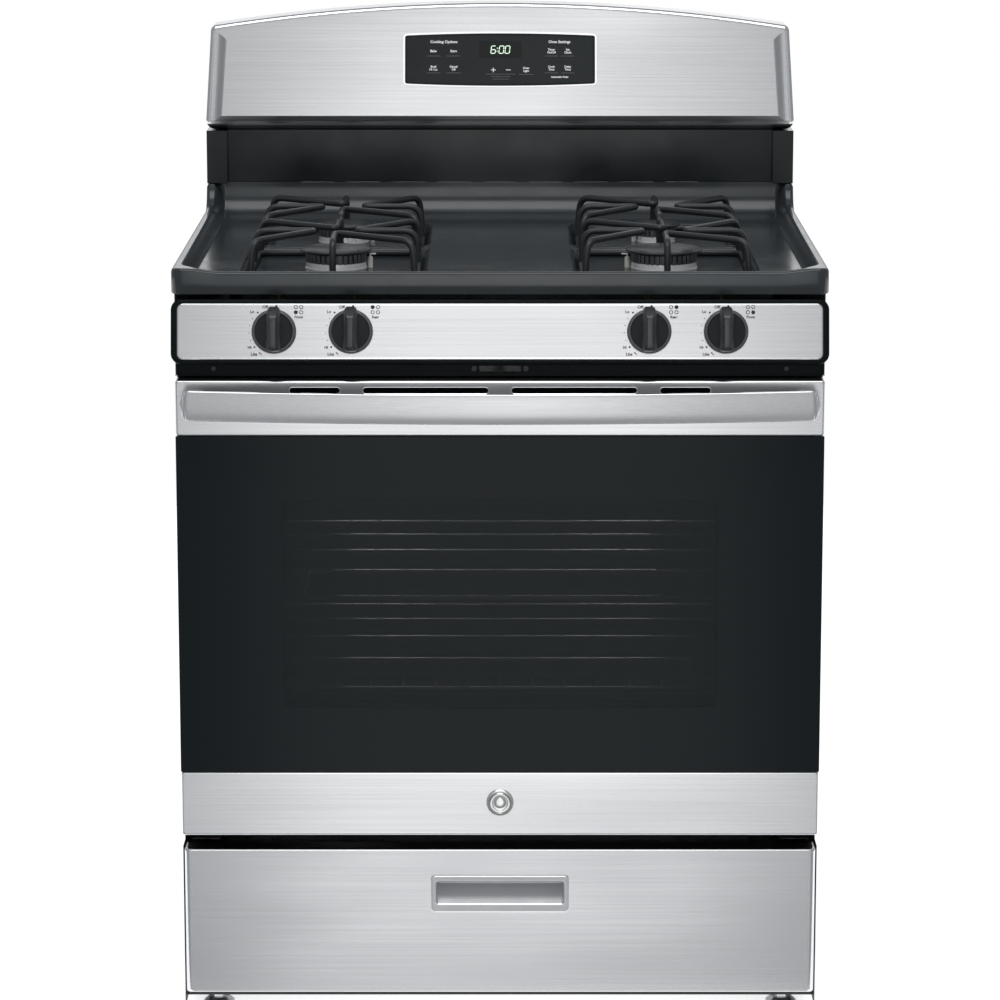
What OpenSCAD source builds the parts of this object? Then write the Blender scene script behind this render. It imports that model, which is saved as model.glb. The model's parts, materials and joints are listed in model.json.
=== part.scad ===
// Freestanding gas range with four burners, an oven, a storage drawer and a raised control backguard.
// +X is the user's right, +Y the back and +Z up. The origin is on the floor, under the middle of the range.
// Inside the modules the second coordinate is the depth behind the cooktop's front edge.

/* [Overall] */
// Width over the cooktop
range_w = 760; // [758:1:762]
// Height of the cooktop's side rims above the floor
rim_z = 915; // [914:0.5:916]
// Depth of the cooktop's front edge in front of the origin
front_y = 290; // [289:1:291]
// Depth from the cooktop's front edge to the back of the range
body_d = 650; // [649:1:651]
// Thickness of the folded steel sheets
sheet = 1.2; // [1:0.1:1.4]

/* [Cooktop] */
// Distance of each burner from the middle, sideways
burner_x = 197; // [195:1:199]
// Depth of the front and the rear burner pair
burner_d = [195, 428];
// Depth of the pressed pan below the side rims
pan_drop = 17; // [16:0.5:18]
// Diameters of the burner caps: front left, front right, rear right, rear left
cap_dia = [86, 92, 60, 76];
// Height of the grates' top above the side rims
grate_rise = 22; // [21:0.5:23]
// Width and depth of one grate
grate_size = 205; // [204:0.5:206]
// Diameter of the grates' rods
rod_dia = 8; // [7.5:0.1:8.5]

/* [Control panel] */
// Width and height of the dark panel frame, measured along its slope
panel_size = [760, 75];
// Width and height of the steel fascia on it
fascia_size = [745, 64.5];
// Lean of the panel, bottom edge forward
panel_tilt = 11.5; // [11:0.1:12]
// Distances of the knobs from the middle
knob_x = [172, 260.5];
// Diameter of a knob's skirt
knob_dia = 51; // [50:0.5:52]

/* [Door] */
// Width of the door's steel trims
door_w = 750; // [748:1:750]
// Heights of the door's bottom and top edges
door_z = [242.5, 787];
// Heights of the glass panel's bottom and top edges
glass_z = [320, 722];
// Height and depth of the hinge pins
hinge_z = 262; // [261.5:0.5:262.5]
hinge_d = 10; // [9.5:0.5:10.5]
// Forward bow of the handle over its half length
handle_bow = 26; // [25:0.5:27]

/* [Oven] */
// Half width, and floor and roof heights, of the oven cavity
cavity_x = 305; // [304:1:305]
cavity_z = [258, 725];
// Front and back depth of the oven cavity
cavity_d = [40, 530];
// Heights of the two racks
rack_z = [402, 513];
// Spacing of the racks' long wires
wire_pitch = 38.7; // [38:0.1:39]

/* [Drawer] */
// Width of the drawer front
drawer_w = 746; // [744:1:746]
// Heights of the drawer front's bottom and top edges
drawer_z = [48, 226];
// Radius of the nylon rollers
roller_r = 10; // [9.5:0.1:10]

/* [Backguard] */
// Height of the backguard's top in the middle
top_z = 1176; // [1175:0.5:1177]
// Drop of its arched top towards the ends
arch_drop = 29; // [28:0.5:30]
// Lean of its steel face, top edge back
guard_tilt = 14.3; // [14:0.1:14.5]

/* [Hidden] */
$fn = 40;

steel = "gainsboro";
enamel = "darkslategray";
coated = "dimgray";
plated = "lightgray";

half_w = range_w / 2;
side_x = half_w - 4;              // outer face of the side panels
inner_x = side_x - sheet - 0.3;   // room between the side panels
skirt_z = rim_z - 30;             // bottom edge of the cooktop's skirt
pan_z = rim_z - pan_drop;         // top of the cooktop's pan
well_z = pan_z - 9;               // floor of the burner wells
grate_z = rim_z + grate_rise;
front_rim_z = rim_z - 4;
face_d = -17;                     // front face of the door's glass
door_back = 22;                   // back face of the door's inner panel
frame_d = 26;                     // front face of the oven's front frame
slack = 0.3;                      // smallest gap between pieces that move apart
running = 0.05;                   // radial clearance of pins and shafts
pin_r = 4;
guard_front = 568;                // depth of the backguard face's lower edge
guard_face_z = 1031;              // height of that edge
guard_z = 1014;                   // lowest edge of the backguard's steel shell
seam_z = rim_z + 30;              // seam between the cooktop and the backguard
panel_mid = [0, -8.5, 843.25];    // middle of the panel frame's front face
fourfold = [[-1, 0], [1, 0], [1, 1], [-1, 1]];    // front left, front right, rear right, rear left
knob_at = [-knob_x[1], -knob_x[0], knob_x[0], knob_x[1]];

// ---- Shared shapes ----

module placed() {
    translate([0, -front_y, 0]) children();
}

module block(x, y, z) {
    translate([x[0], y[0], z[0]]) cube([x[1] - x[0], y[1] - y[0], z[1] - z[0]]);
}

// Two blocks, mirrored about the middle of the range
module blocks(x, y, z) {
    block(x, y, z);
    block([-x[1], -x[0]], y, z);
}

module rounded(w, h, r) {
    square([w - 2 * r, h], center = true);
    square([w, h - 2 * r], center = true);
    for (i = [-1, 1], j = [-1, 1])
        translate([i * (w / 2 - r), j * (h / 2 - r)]) circle(r);
}

// Extrudes a depth-height outline across x
module across(x) {
    translate([x[0], 0, 0]) rotate([90, 0, 90]) linear_extrude(x[1] - x[0]) children();
}

// Extrudes a width-height outline from one depth to another
module through(d) {
    translate([0, d[1], 0]) rotate([90, 0, 0]) linear_extrude(d[1] - d[0]) children();
}

// Extrudes a width-depth outline from one height to another
module upward(z) {
    translate([0, 0, z[0]]) linear_extrude(z[1] - z[0]) children();
}

// A rod along x, y or z through a point
module rod_x(x, d, z, r) {
    translate([x[0], d, z]) rotate([0, 90, 0]) cylinder(h = x[1] - x[0], r = r);
}

module rod_y(x, d, z, r) {
    translate([x, d[0], z]) rotate([-90, 0, 0]) cylinder(h = d[1] - d[0], r = r);
}

module rod_z(x, d, z, r) {
    translate([x, d, z[0]]) cylinder(h = z[1] - z[0], r = r);
}

function arc(cx, cy, r, from, to, n) =
    [for (i = [0:n]) let (a = from + (to - from) * i / n) [cx + r * cos(a), cy + r * sin(a)]];

// The knob panel's own axes: the second runs into the panel, the third up its slope
module on_panel() {
    translate(panel_mid) rotate([-panel_tilt, 0, 0]) children();
}

// The backguard face's own axes, from the middle of its lower edge
module on_guard() {
    translate([0, guard_front, guard_face_z]) rotate([-guard_tilt, 0, 0]) children();
}

// ---- Cabinet ----

door_gap = [drawer_z[1] - 2, door_z[1] + 2];

module side_outline(inset) {
    swing_d = 34;      // the door's lower edge swings back to here
    swing_z = 277;
    polygon([[4 + inset, 28 + inset], [4 + inset, door_gap[0] - inset],
        [swing_d + inset, door_gap[0] - inset],
        [swing_d + inset, swing_z + inset], [frame_d - 1 + inset, swing_z + inset],
        [frame_d - 1 + inset, door_gap[1] + inset], [4 + inset, door_gap[1] + inset],
        [4 + inset, skirt_z + 8 - inset], [body_d - 10 - inset, skirt_z + 8 - inset],
        [body_d - 10 - inset, 28 + inset]]);
}

// A folded side panel: a flat wall with flanges turned inwards along its rear, top and bottom edges
module side_panel(side) {
    flange = 16;
    color(coated) placed() mirror([side < 0 ? 1 : 0, 0, 0]) {
        across([side_x - sheet, side_x]) side_outline(0);
        block([side_x - flange, side_x], [body_d - 10 - sheet, body_d - 10], [28, skirt_z + 8]);
        block([side_x - flange, side_x], [frame_d + 14, body_d - 10], [28 - sheet, 28]);
        block([side_x - flange, side_x], [frame_d + 14, body_d - 10], [skirt_z + 8, skirt_z + 8 + sheet]);
        for (z = [330, 700])
            block([side_x - 2.4, side_x - sheet], [120, 560], [z - 6, z + 6]);
    }
}

module rear_panel() {
    d = [body_d - 8, body_d - 8 + sheet];
    color(plated) placed() difference() {
        block([-inner_x + 4, inner_x - 4], d, [60, skirt_z + 4]);
        translate([regulator_x, 0, regulator_z]) through([d[0] - 1, d[1] + 1]) rounded(110, 90, 12);
        rod_y(cord_x, [d[0] - 1, d[1] + 1], cord_z, gland_r);
        for (i = [0:9], z = [700, 760])
            translate([-180 + i * 40, 0, z]) through([d[0] - 1, d[1] + 1]) rounded(28, 8, 3.9);
    }
}

foot_x = 340;
foot_d = [60, 600];
stud_r = 5;

// The chassis under the drawer: two side rails, two cross rails and the bosses the legs screw into
module base_frame() {
    color(coated) placed() difference() {
        union() {
            blocks([foot_x - 18, inner_x], [30, body_d - 12], [30, 33]);
            blocks([inner_x - 3, inner_x], [30, body_d - 12], [33, 46]);
            for (d = [[30, 56], [body_d - 38, body_d - 12]]) {
                block([-inner_x, inner_x], d, [30, 33]);
                block([-inner_x, inner_x], [d[1] - 3, d[1]], [33, 46]);
            }
            for (d = foot_d, i = [-1, 1]) {
                block([i * foot_x - 18, i * foot_x + 18], [d - 18, d + 18], [30, 33]);
                rod_z(i * foot_x, d, [30, 44], 11);
            }
        }
        for (d = foot_d, i = [-1, 1])
            rod_z(i * foot_x, d, [29, 47], stud_r + running);
    }
}

module leg(i) {
    x = fourfold[i][0] * foot_x;
    d = foot_d[fourfold[i][1]];
    color(plated) placed() {
        translate([x, d, 0]) cylinder(h = 5, r1 = 17, r2 = 19);
        rod_z(x, d, [5, 14], 19);
        translate([x, d, 14]) cylinder(h = 6, r1 = 19, r2 = 12);
        translate([x, d, 20]) cylinder(h = 8, r = 10, $fn = 6);
        rod_z(x, d, [28, 52], stud_r);
    }
}

stile_x = cavity_x + 1;
bracket_x = [347.5, 352.5];

// The enamelled face around the oven mouth, with the rail above the door and the brackets for its hinges
module front_frame() {
    rail_z = [door_z[1] + 1.5, 812];
    mouth = [295, 726];
    color(enamel) placed() {
        difference() {
            block([-inner_x, inner_x], [frame_d, frame_d + 2], [277, rail_z[0] + 2]);
            block([-stile_x, stile_x], [frame_d - 1, frame_d + 3], mouth);
        }
        block([-stile_x, stile_x], [frame_d, cavity_d[0] - 0.1], [mouth[0] - 1.5, mouth[0]]);
        block([-stile_x, stile_x], [frame_d, cavity_d[0] - 0.1], [mouth[1], mouth[1] + 1.5]);
        blocks([stile_x, stile_x + 1.5], [frame_d, cavity_d[0] - 0.1], [mouth[0] - 1.5, mouth[1] + 1.5]);
        block([-inner_x, inner_x], [8, frame_d + 2], [rail_z[0], rail_z[0] + 2]);
        difference() {
            block([-inner_x, inner_x], [8, 10], rail_z);
            block([-24, 24], [7, 11], [rail_z[0] + 4, rail_z[0] + 12]);
        }
        for (i = [-1, 1]) {
            x = i > 0 ? bracket_x : [-bracket_x[1], -bracket_x[0]];
            across(x) union() {
                translate([hinge_d, hinge_z]) circle(6);
                polygon([[hinge_d, hinge_z - 6], [44, hinge_z - 6], [60, hinge_z + 8], [60, 330],
                    [frame_d + 2, 330], [frame_d + 2, 284], [frame_d, 277], [hinge_d + 14, hinge_z + 6],
                    [hinge_d, hinge_z + 6]]);
            }
            rod_x([x[0] - 7, x[1] + 7], hinge_d, hinge_z, pin_r);
        }
    }
}

// ---- Oven ----

guide_d = [cavity_d[0] + 12, cavity_d[1] - 6];

module oven_liner() {
    t = 1.5;
    color(enamel) placed() {
        difference() {
            block([-cavity_x - t, cavity_x + t], [cavity_d[0], cavity_d[1] + t],
                [cavity_z[0] - t, cavity_z[1] + t]);
            block([-cavity_x, cavity_x], [cavity_d[0] - 1, cavity_d[1]], cavity_z);
            rod_y(lamp_x, [cavity_d[1] - 1, cavity_d[1] + t + 1], lamp_z, lamp_r - 4);
        }
        block([-cavity_x, cavity_x], [cavity_d[0], cavity_d[0] + t], [cavity_z[0], 294]);
        for (z = rack_z, dz = [-8.2, 4])
            blocks([cavity_x - 7, cavity_x], guide_d, [z + dz, z + dz + 4]);
        for (z = [rack_z[1] + 100, rack_z[0] - 60])
            blocks([cavity_x - 7, cavity_x], guide_d, [z - 8.2, z - 4.2]);
    }
}

module oven_floor() {
    color(enamel) placed() difference() {
        union() {
            block([-cavity_x + 1, cavity_x - 1], [cavity_d[0] + 2, cavity_d[1] - 1], [295.5, 297.5]);
            blocks([cavity_x - 3, cavity_x - 1], [cavity_d[0] + 2, cavity_d[1] - 1], [288, 295.5]);
        }
        for (d = [90:40:490])
            for (i = [-1, 1])
                translate([i * 270, d, 295]) upward([-1, 3]) rounded(36, 8, 3.9);
    }
}

lamp_x = -225;
lamp_z = 640;
lamp_r = 30;

module oven_lamp() {
    color("gainsboro") placed() {
        rod_y(lamp_x, [cavity_d[1] - 8, cavity_d[1] - 0.1], lamp_z, lamp_r);
        translate([lamp_x, cavity_d[1] - 8, lamp_z]) rotate([90, 0, 0])
            cylinder(h = 12, r1 = lamp_r - 3, r2 = lamp_r - 7);
        translate([lamp_x, cavity_d[1] - 20, lamp_z]) rotate([90, 0, 0])
            cylinder(h = 6, r1 = lamp_r - 7, r2 = 10);
    }
}

module bake_burner() {
    z = 276;
    color(plated) placed() {
        for (i = [-1, 1])
            rod_y(i * 120, [90, 470], z, 9);
        rod_x([-120, 120], 470, z, 9.5);
        rod_y(0, [479, 524], z, 11);
        for (x = [-120, 120], d = [130:50:430])
            rod_x([x - 10.5, x + 10.5], d, z, 1.5);
        blocks([100, 140], [88, 92], [cavity_z[0] + 0.2, z + 10]);
    }
}

module broil_burner() {
    z = 700;
    color(plated) placed() {
        rod_y(0, [110, 524], z, 11);
        block([-95, 95], [120, 460], [z + 9, z + 10.5]);
        blocks([93.5, 95], [120, 460], [z - 4, z + 10.5]);
        blocks([60, 66], [118, 120], [z + 9, cavity_z[1] - 0.2]);
        for (d = [150:44:440])
            rod_x([-12.5, 12.5], d, z - 4, 1.5);
    }
}

// A ring of sealing braid clipped to the front frame
module door_seal() {
    w = stile_x + 16;
    z = [282, 742];
    color("slategray") placed() for (i = [-1, 1]) {
        rod_z(i * w, frame_d - 1.9, z, 1.6);
        rod_x([-w, w], frame_d - 1.9, z[i > 0 ? 1 : 0], 1.7);
    }
}

// ---- Gas supply ----

regulator_x = -210;
regulator_z = 150;
cord_x = 230;
cord_z = 130;
gland_r = 11;
inlet_r = 10.67;
manifold_d = panel_mid[1] + 56 * cos(panel_tilt);
manifold_z = panel_mid[2] - 56 * sin(panel_tilt);
riser_x = -345;

module gas_regulator() {
    color("slategray") placed() {
        rod_z(regulator_x, body_d - 58, [regulator_z - 16, regulator_z + 16], 24);
        rod_z(regulator_x, body_d - 58, [regulator_z + 16, regulator_z + 24], 17);
        rod_z(regulator_x, body_d - 58, [regulator_z + 24, regulator_z + 33], 7);
        rod_y(regulator_x, [body_d - 58, body_d - 24], regulator_z, 15);
        rod_y(regulator_x, [body_d - 24, body_d - 1], regulator_z, inlet_r);
        rod_x([regulator_x - 34, regulator_x], body_d - 58, regulator_z, 12);
    }
}

module gas_manifold() {
    r = 8;
    back = body_d - 58;
    color("dimgray") placed() {
        rod_x([riser_x - 0.5, 330], manifold_d, manifold_z, 10.5);
        rod_y(riser_x, [manifold_d, back], manifold_z, r);
        rod_z(riser_x, back, [regulator_z, manifold_z], r);
        rod_x([riser_x, regulator_x - 34.1], back, regulator_z, r);
        for (z = [regulator_z, manifold_z])
            translate([riser_x, back, z]) sphere(r + 2);
        translate([riser_x, manifold_d, manifold_z]) sphere(13);
    }
}

// Valve bodies behind the panel, each drilled for its spindle, and the tubes to the burners
module gas_valves() {
    color("darkkhaki") placed() {
        for (x = knob_at) on_panel() difference() {
            union() {
                rod_y(x, [16, 45], 0, 10);
                translate([x, 0, 0]) through([12, 16]) rounded(34, 24, 5);
                rod_z(x, 30, [0, 22], 5);
            }
            rod_y(x, [11, 40], 0, pin_r + running);
        }
        for (k = [0:3]) {
            // spindles run front left, rear left, rear right, front right
            i = [0, 3, 2, 1][k];
            d = burner_d[fourfold[i][1]];
            bend_z = well_z - 16;
            top = panel_mid[2] - 30 * sin(panel_tilt) + 22 * cos(panel_tilt);
            bend_d = panel_mid[1] + 30 * cos(panel_tilt) + 22 * sin(panel_tilt);
            x = knob_at[k];
            burner = fourfold[i][0] * burner_x;
            rod_z(x, bend_d, [top - 3, bend_z], 3);
            rod_y(x, [bend_d, d], bend_z, 3);
            rod_x([min(x, burner), max(x, burner)], d, bend_z, 3);
            for (y = [bend_d, d])
                translate([x, y, bend_z]) sphere(4);
        }
    }
}

// ---- Control panel ----

module panel_frame() {
    color(enamel) placed() on_panel() difference() {
        union() {
            through([0, 2]) rounded(panel_size[0], panel_size[1], 12);
            through([0, 22]) difference() {
                rounded(panel_size[0], panel_size[1], 12);
                rounded(panel_size[0] - 4, panel_size[1] - 4, 10);
            }
        }
        // slots for the front edges of the side panels
        blocks([inner_x - 0.2, side_x + 0.5], [4, 23], [-panel_size[1], panel_size[1]]);
        for (x = knob_at)
            rod_y(x, [-1, 3], 0, 7);
    }
}

module panel_fascia() {
    color(steel) placed() on_panel() difference() {
        through([-1.3, -0.1]) rounded(fascia_size[0], fascia_size[1], 6);
        for (x = knob_at)
            rod_y(x, [-2, 1], 0, 7);
    }
}

// A valve spindle with a flat on its front end. It stops short of the knob's bore, so that the knob can be
// pushed in.
module spindle(k) {
    tip = -21;
    color(plated) placed() on_panel() {
        rod_y(knob_at[k], [6, 39], 0, pin_r);
        difference() {
            rod_y(knob_at[k], [tip, 6], 0, pin_r);
            translate([knob_at[k], 0, 0]) block([-pin_r, pin_r], [tip - 1, -2], [2.6, pin_r + 1]);
        }
    }
}

// A knob: a skirt, a tapered body and a grip bar whose pointer stands a little past the skirt
module knob(k) {
    front = -31;
    rear = -5;
    r = knob_dia / 2;
    grip = 9.5;
    color("darkslategray") placed() on_panel() translate([knob_at[k], 0, 0]) difference() {
        union() {
            translate([0, rear, 0]) rotate([90, 0, 0]) cylinder(h = 4, r = r);
            translate([0, rear - 4, 0]) rotate([90, 0, 0]) cylinder(h = 5, r1 = r, r2 = r - 3);
            intersection() {
                across([-grip, grip]) polygon([[rear - 5, -r + 1], [rear - 5, r + 3], [rear - 10, r + 3],
                    [front + 3, r - 1], [front, r - 4], [front, -r + 6], [front + 3, -r + 3]]);
                through([front - 1, rear]) union() {
                    circle(r + 1.5);
                    polygon([[-6, 0], [6, 0], [2, r + 3], [-2, r + 3]]);
                }
            }
        }
        rod_y(0, [front + 6, rear + 1], 0, pin_r + running);
    }
}

// ---- Cooktop ----

well_x = [88, 306];
well_d = [[86, 304], [320, 536]];
sweep_r = 38;
cove_d = 548;

// The rim's cross-section, from the skirt over the top and down to the pan
module rim_outline(edge, top, t) {
    polygon(concat([[edge - t, skirt_z], [edge, skirt_z]],
        arc(edge - 5, top - 5, 5, 0, 90, 6),
        [[edge - 11, top], [edge - 22, pan_z], [edge - 26, pan_z], [edge - 26, pan_z - t],
        [edge - 22.5, pan_z - t], [edge - 11.5, top - t], [edge - 5, top - t]],
        arc(edge - 5, top - 5, 5 - t, 90, 0, 4)));
}

module cooktop() {
    t = 1.6;
    color(enamel) placed() {
        difference() {
            intersection() {
                union() {
                    for (i = [0, 1])
                        mirror([i, 0, 0]) through([0, 574]) rim_outline(half_w, rim_z, t);
                    mirror([0, 1, 0]) across([-half_w, half_w]) rim_outline(0, front_rim_z, t);
                    block([-half_w + 25, half_w - 25], [25, cove_d], [pan_z - t, pan_z]);
                    across([-half_w + 25, half_w - 25]) polygon(concat(
                        [[cove_d - 2, pan_z - t], [cove_d - 2, pan_z]],
                        arc(cove_d, pan_z + 42, 42, -90, 0, 10), [[590, seam_z], [590 + t, seam_z]],
                        arc(cove_d, pan_z + 42, 42 + t, 0, -90, 10)));
                }
                upward([skirt_z - 1, seam_z + 1]) union() {
                    translate([0, 300]) rounded(range_w, 600, 14);
                }
            }
            for (i = [-1, 1], d = well_d)
                translate([i * (well_x[0] + well_x[1]) / 2, (d[0] + d[1]) / 2, 0])
                    upward([pan_z - 5, pan_z + 1]) rounded(well_x[1] - well_x[0], d[1] - d[0], 14);
        }
        for (i = [-1, 1], d = well_d)
            translate([i * (well_x[0] + well_x[1]) / 2, (d[0] + d[1]) / 2, 0])
                well(well_x[1] - well_x[0], d[1] - d[0], t,
                    burner_d[d == well_d[0] ? 0 : 1] - (d[0] + d[1]) / 2);
        for (i = [0, 1])
            mirror([i, 0, 0]) wing_foot(t);
    }
}

// A burner well: a shallow rectangular dish with a hole under the burner
module well(w, d, t, hole) {
    difference() {
        upward([well_z - t, pan_z]) rounded(w, d, 14);
        upward([well_z, pan_z + 1]) rounded(w - 2 * t, d - 2 * t, 12);
        translate([0, hole, well_z - t - 1]) cylinder(h = t + 2, r = 22);
    }
}

// The rim's rear end, which sweeps up to meet the backguard
module wing_foot(t) {
    x = [half_w - 27, half_w];
    difference() {
        across(x) polygon(concat([[520, rim_z - 3], [574 - sweep_r - 8, rim_z - 0.1]],
            arc(574 - sweep_r, rim_z + sweep_r, sweep_r, -80, -12, 8),
            [[574, seam_z], [590, seam_z], [590, rim_z - 3]]));
        across([x[0] + t, x[1] - t]) polygon(concat([[519, rim_z - 4], [519, rim_z - 1.8]],
            arc(574 - sweep_r + t, rim_z + sweep_r - t, sweep_r, -80, -12, 8),
            [[574 + t, seam_z + 1], [591, seam_z + 1], [591, rim_z - 4]]));
    }
}

// Four aluminium burner bases: a plain foot ring, a slotted flame ring and a throat into the well
module burner_heads() {
    foot = 8;
    wall = 5;
    color("silver") placed() for (i = [0:3]) {
        r = cap_dia[i] / 2 - 6;
        translate([fourfold[i][0] * burner_x, burner_d[fourfold[i][1]], 0]) difference() {
            union() {
                translate([0, 0, well_z + 0.1]) cylinder(h = foot, r = r);
                translate([0, 0, well_z + foot]) cylinder(h = cap_z - well_z - foot - 0.3, r = r - 0.5);
                translate([0, 0, well_z - 10]) cylinder(h = 11, r = 15);
            }
            translate([0, 0, well_z + foot]) cylinder(h = cap_z - well_z, r = r - wall);
            for (a = [0:15:345])
                rotate([0, 0, a]) block([r - wall - 2, r + 1], [-0.9, 0.9], [well_z + foot + 3, cap_z + 1]);
        }
    }
}

cap_z = rim_z - 7;      // underside of the burner caps

module burner_cap(i) {
    r = cap_dia[i] / 2;
    color("darkslategray") placed() translate([fourfold[i][0] * burner_x, burner_d[fourfold[i][1]], cap_z]) {
        cylinder(h = 3.4, r = r);
        translate([0, 0, 3.4]) cylinder(h = 1.6, r1 = r, r2 = r - 2.5);
        translate([0, 0, 5]) cylinder(h = 2, r1 = r - 2.5, r2 = r - 14);
    }
}

// Spark electrodes: a ceramic post under the inner edge of each cap, with a wire that points outwards
module igniters() {
    color("whitesmoke") placed() for (i = [0:3]) {
        r = cap_dia[i] / 2;
        d = burner_d[fourfold[i][1]];
        wire_z = cap_z - 2.5;
        translate([fourfold[i][0] * burner_x, 0, 0]) mirror([fourfold[i][0] > 0 ? 1 : 0, 0, 0]) {
            rod_z(r - 1.8, d, [well_z + 0.1, well_z + 13], 3);
            rod_z(r - 1.8, d, [well_z + 12, wire_z + 1], 1);
            rod_x([r - 1.8, r + 5], d, wire_z, 1);
        }
    }
}

// A grate: a square base frame and four bent rods. Each rod has one finger from the middle of a side and one
// from the next corner, joined at a tip near the middle.
module grate(i) {
    r = rod_dia / 2;
    half = grate_size / 2 - r;
    top = grate_z - r;
    low = well_z + r + 0.4;
    tip = 22;
    side_foot = [half - 6, half];
    corner_foot = [half - 6, half - 1];
    color(coated) placed() translate([fourfold[i][0] * burner_x, burner_d[fourfold[i][1]], 0]) {
        for (a = [0:90:270]) rotate([0, 0, a]) {
            rod_x([-half, half], half, low, r);
            translate([half, half, low]) sphere(r + 0.3);
            strut([tip, 0, top], [side_foot[0], 0, top], r);
            strut([side_foot[0], 0, top], [side_foot[1], 0, low], r - 0.3);
            strut([tip, 0, top], [corner_foot[0], corner_foot[0], top], r - 0.1);
            strut([corner_foot[0], corner_foot[0], top], [corner_foot[1], corner_foot[1], low], r - 0.3);
            for (p = [[tip, 0], [side_foot[0], 0], [corner_foot[0], corner_foot[0]]])
                translate([p[0], p[1], top]) sphere(r + 0.3);
        }
    }
}

// A round rod between two points
module strut(from, to, r) {
    along = to - from;
    run = norm([along[0], along[1]]);
    translate(from) rotate([0, atan2(run, along[2]), atan2(along[1], along[0])])
        cylinder(h = norm(along), r = r);
}

// ---- Backguard ----

function arch_z(x, lift) = top_z + lift - arch_drop * x * x / (374 * 374);

module guard_outline(t) {
    polygon(concat(
        arc(-379.5 + 13 + t, guard_z + 13 + t, 13, 180, 270, 5),
        arc(379.5 - 13 - t, guard_z + 13 + t, 13, 270, 360, 5),
        arc(374 - 8 - t, arch_z(366, -8 - t), 8, 0, 85, 5),
        [for (i = [1:23]) let (x = 366 - 732 * i / 24) [x, arch_z(x, -t)]],
        arc(-374 + 8 + t, arch_z(366, -8 - t), 8, 95, 180, 5)));
}

module guard_solid(t) {
    rise = top_z - guard_face_z;
    intersection() {
        through([guard_front - 5, body_d + 1]) guard_outline(t);
        across([-half_w, half_w]) polygon(concat([[body_d - 1.3 + t, guard_z]],
            arc(590, guard_z + 20, 20 - t, 270, 194.3, 6),
            [[guard_front + t, guard_face_z], [guard_front + rise * tan(guard_tilt) + t, top_z],
            [body_d - 1.3 + t, top_z]]));
    }
}

// The steel face, folded back over the arched top and under the lower edge
module backguard_fascia() {
    color(steel) placed() difference() {
        guard_solid(0);
        guard_solid(1.5);
    }
}

// Outline of a wing of the backguard, seen from the side, set in from its edges
module wing_outline(t) {
    polygon([[571.5 + t, seam_z + 0.1 + t], [592 + t, seam_z + 0.1 + t], [592 + t, skirt_z + 10 + t],
        [body_d - 2 + t, skirt_z + 10 + t], [body_d - 2 + t, guard_z - 0.3 - t],
        [571.5 + t, guard_z - 0.3 - t]]);
}

// The enamelled lower part: two wings, open at the back, with a recessed wall between them
module backguard_body() {
    z = [seam_z + 0.1, guard_z - 0.3];
    wing = [half_w - 27, half_w - 0.5];
    color(enamel) placed() {
        block([-wing[0], wing[0]], [590, 590 + sheet], z);
        block([-wing[0], wing[0]], [590, 606], [z[1] - sheet, z[1]]);
        for (i = [0, 1]) mirror([i, 0, 0]) difference() {
            across(wing) wing_outline(0);
            across(wing + [sheet, -sheet]) wing_outline(sheet);
        }
    }
}

module backguard_cover() {
    slot_z = [940, 970];
    color(plated) placed() difference() {
        through([body_d - 1, body_d]) polygon(concat([[-370, skirt_z + 9], [370, skirt_z + 9]],
            [for (i = [0:16]) let (x = 364 - 728 * i / 16) [x, arch_z(x, -12)]]));
        for (i = [-4:4], z = slot_z)
            translate([i * 60, 0, z]) through([body_d - 3, body_d + 1]) rounded(44, 8, 3.9);
    }
}

overlay_z = (1104 - guard_face_z) / cos(guard_tilt);

module control_overlay() {
    bulge = 3;
    color("black") placed() on_guard() translate([0, 0, overlay_z]) through([-1.6, -0.1])
        polygon([for (i = [0:47]) let (a = 360 * i / 48, c = cos(a), s = sin(a))
            [125 * sign(c) * pow(abs(c), 0.16),
                (33.5 + bulge * (1 - c * c)) * sign(s) * pow(abs(s), 0.16)]]);
}

// Screws in the rail above the door, the rear panel and the cooktop's lip
module fasteners() {
    color("silver") placed() {
        for (i = [-1, 1]) {
            rod_y(i * 30, [6.2, 8], 797.5, 3.2);
            rod_y(i * 332, [6.2, 8], 797.5, 2.6);
        }
        for (x = [-320, -110, 110, 320], z = [70, 470, 860])
            rod_y(x, [body_d - 6.8, body_d - 5], z, 4);
        rod_z(-260, 16, [skirt_z - 2, skirt_z], 4);
        rod_z(313, 16, [skirt_z - 2, skirt_z], 4);
    }
}

// ---- Door ----

trim_t = 1.2;

module door_glass() {
    color("black") placed() block([-375.5, 375.5], [face_d, face_d + 4], glass_z + [0.2, -0.2]);
}

// A steel channel across the door, open at the back. Its flange next to the glass is cut short in front of
// the inner panel.
module door_channel(z, d, glass_edge) {
    difference() {
        block([-door_w / 2, door_w / 2], [face_d + 0.5, d], z);
        block([-door_w / 2 + trim_t, door_w / 2 - trim_t], [face_d + 0.5 + trim_t, d + 1],
            z + [trim_t, -trim_t]);
        block([-door_w, door_w], [face_d + 5, d + 1], [glass_edge - 2, glass_edge + 2]);
    }
}

vent_slots = [[13.5, 158], [185, 243]];

module door_trim_top() {
    color(steel) placed() difference() {
        door_channel([glass_z[1], door_z[1]], 12, glass_z[1]);
        for (i = [-1, 1], s = vent_slots)
            translate([i * (s[0] + s[1]) / 2, 0, 775.5]) through([face_d - 1, face_d + 4])
                rounded(s[1] - s[0], 7, 3.3);
    }
}

module door_trim_bottom() {
    color(steel) placed() door_channel([door_z[0], glass_z[0]], 1, glass_z[0]);
}

module door_badge() {
    color("silver") placed() {
        rod_y(0, [face_d - 1.6, face_d + 0.4], 283, 16);
        rod_y(0, [face_d - 2.4, face_d - 1.6], 283, 12);
    }
}

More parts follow.
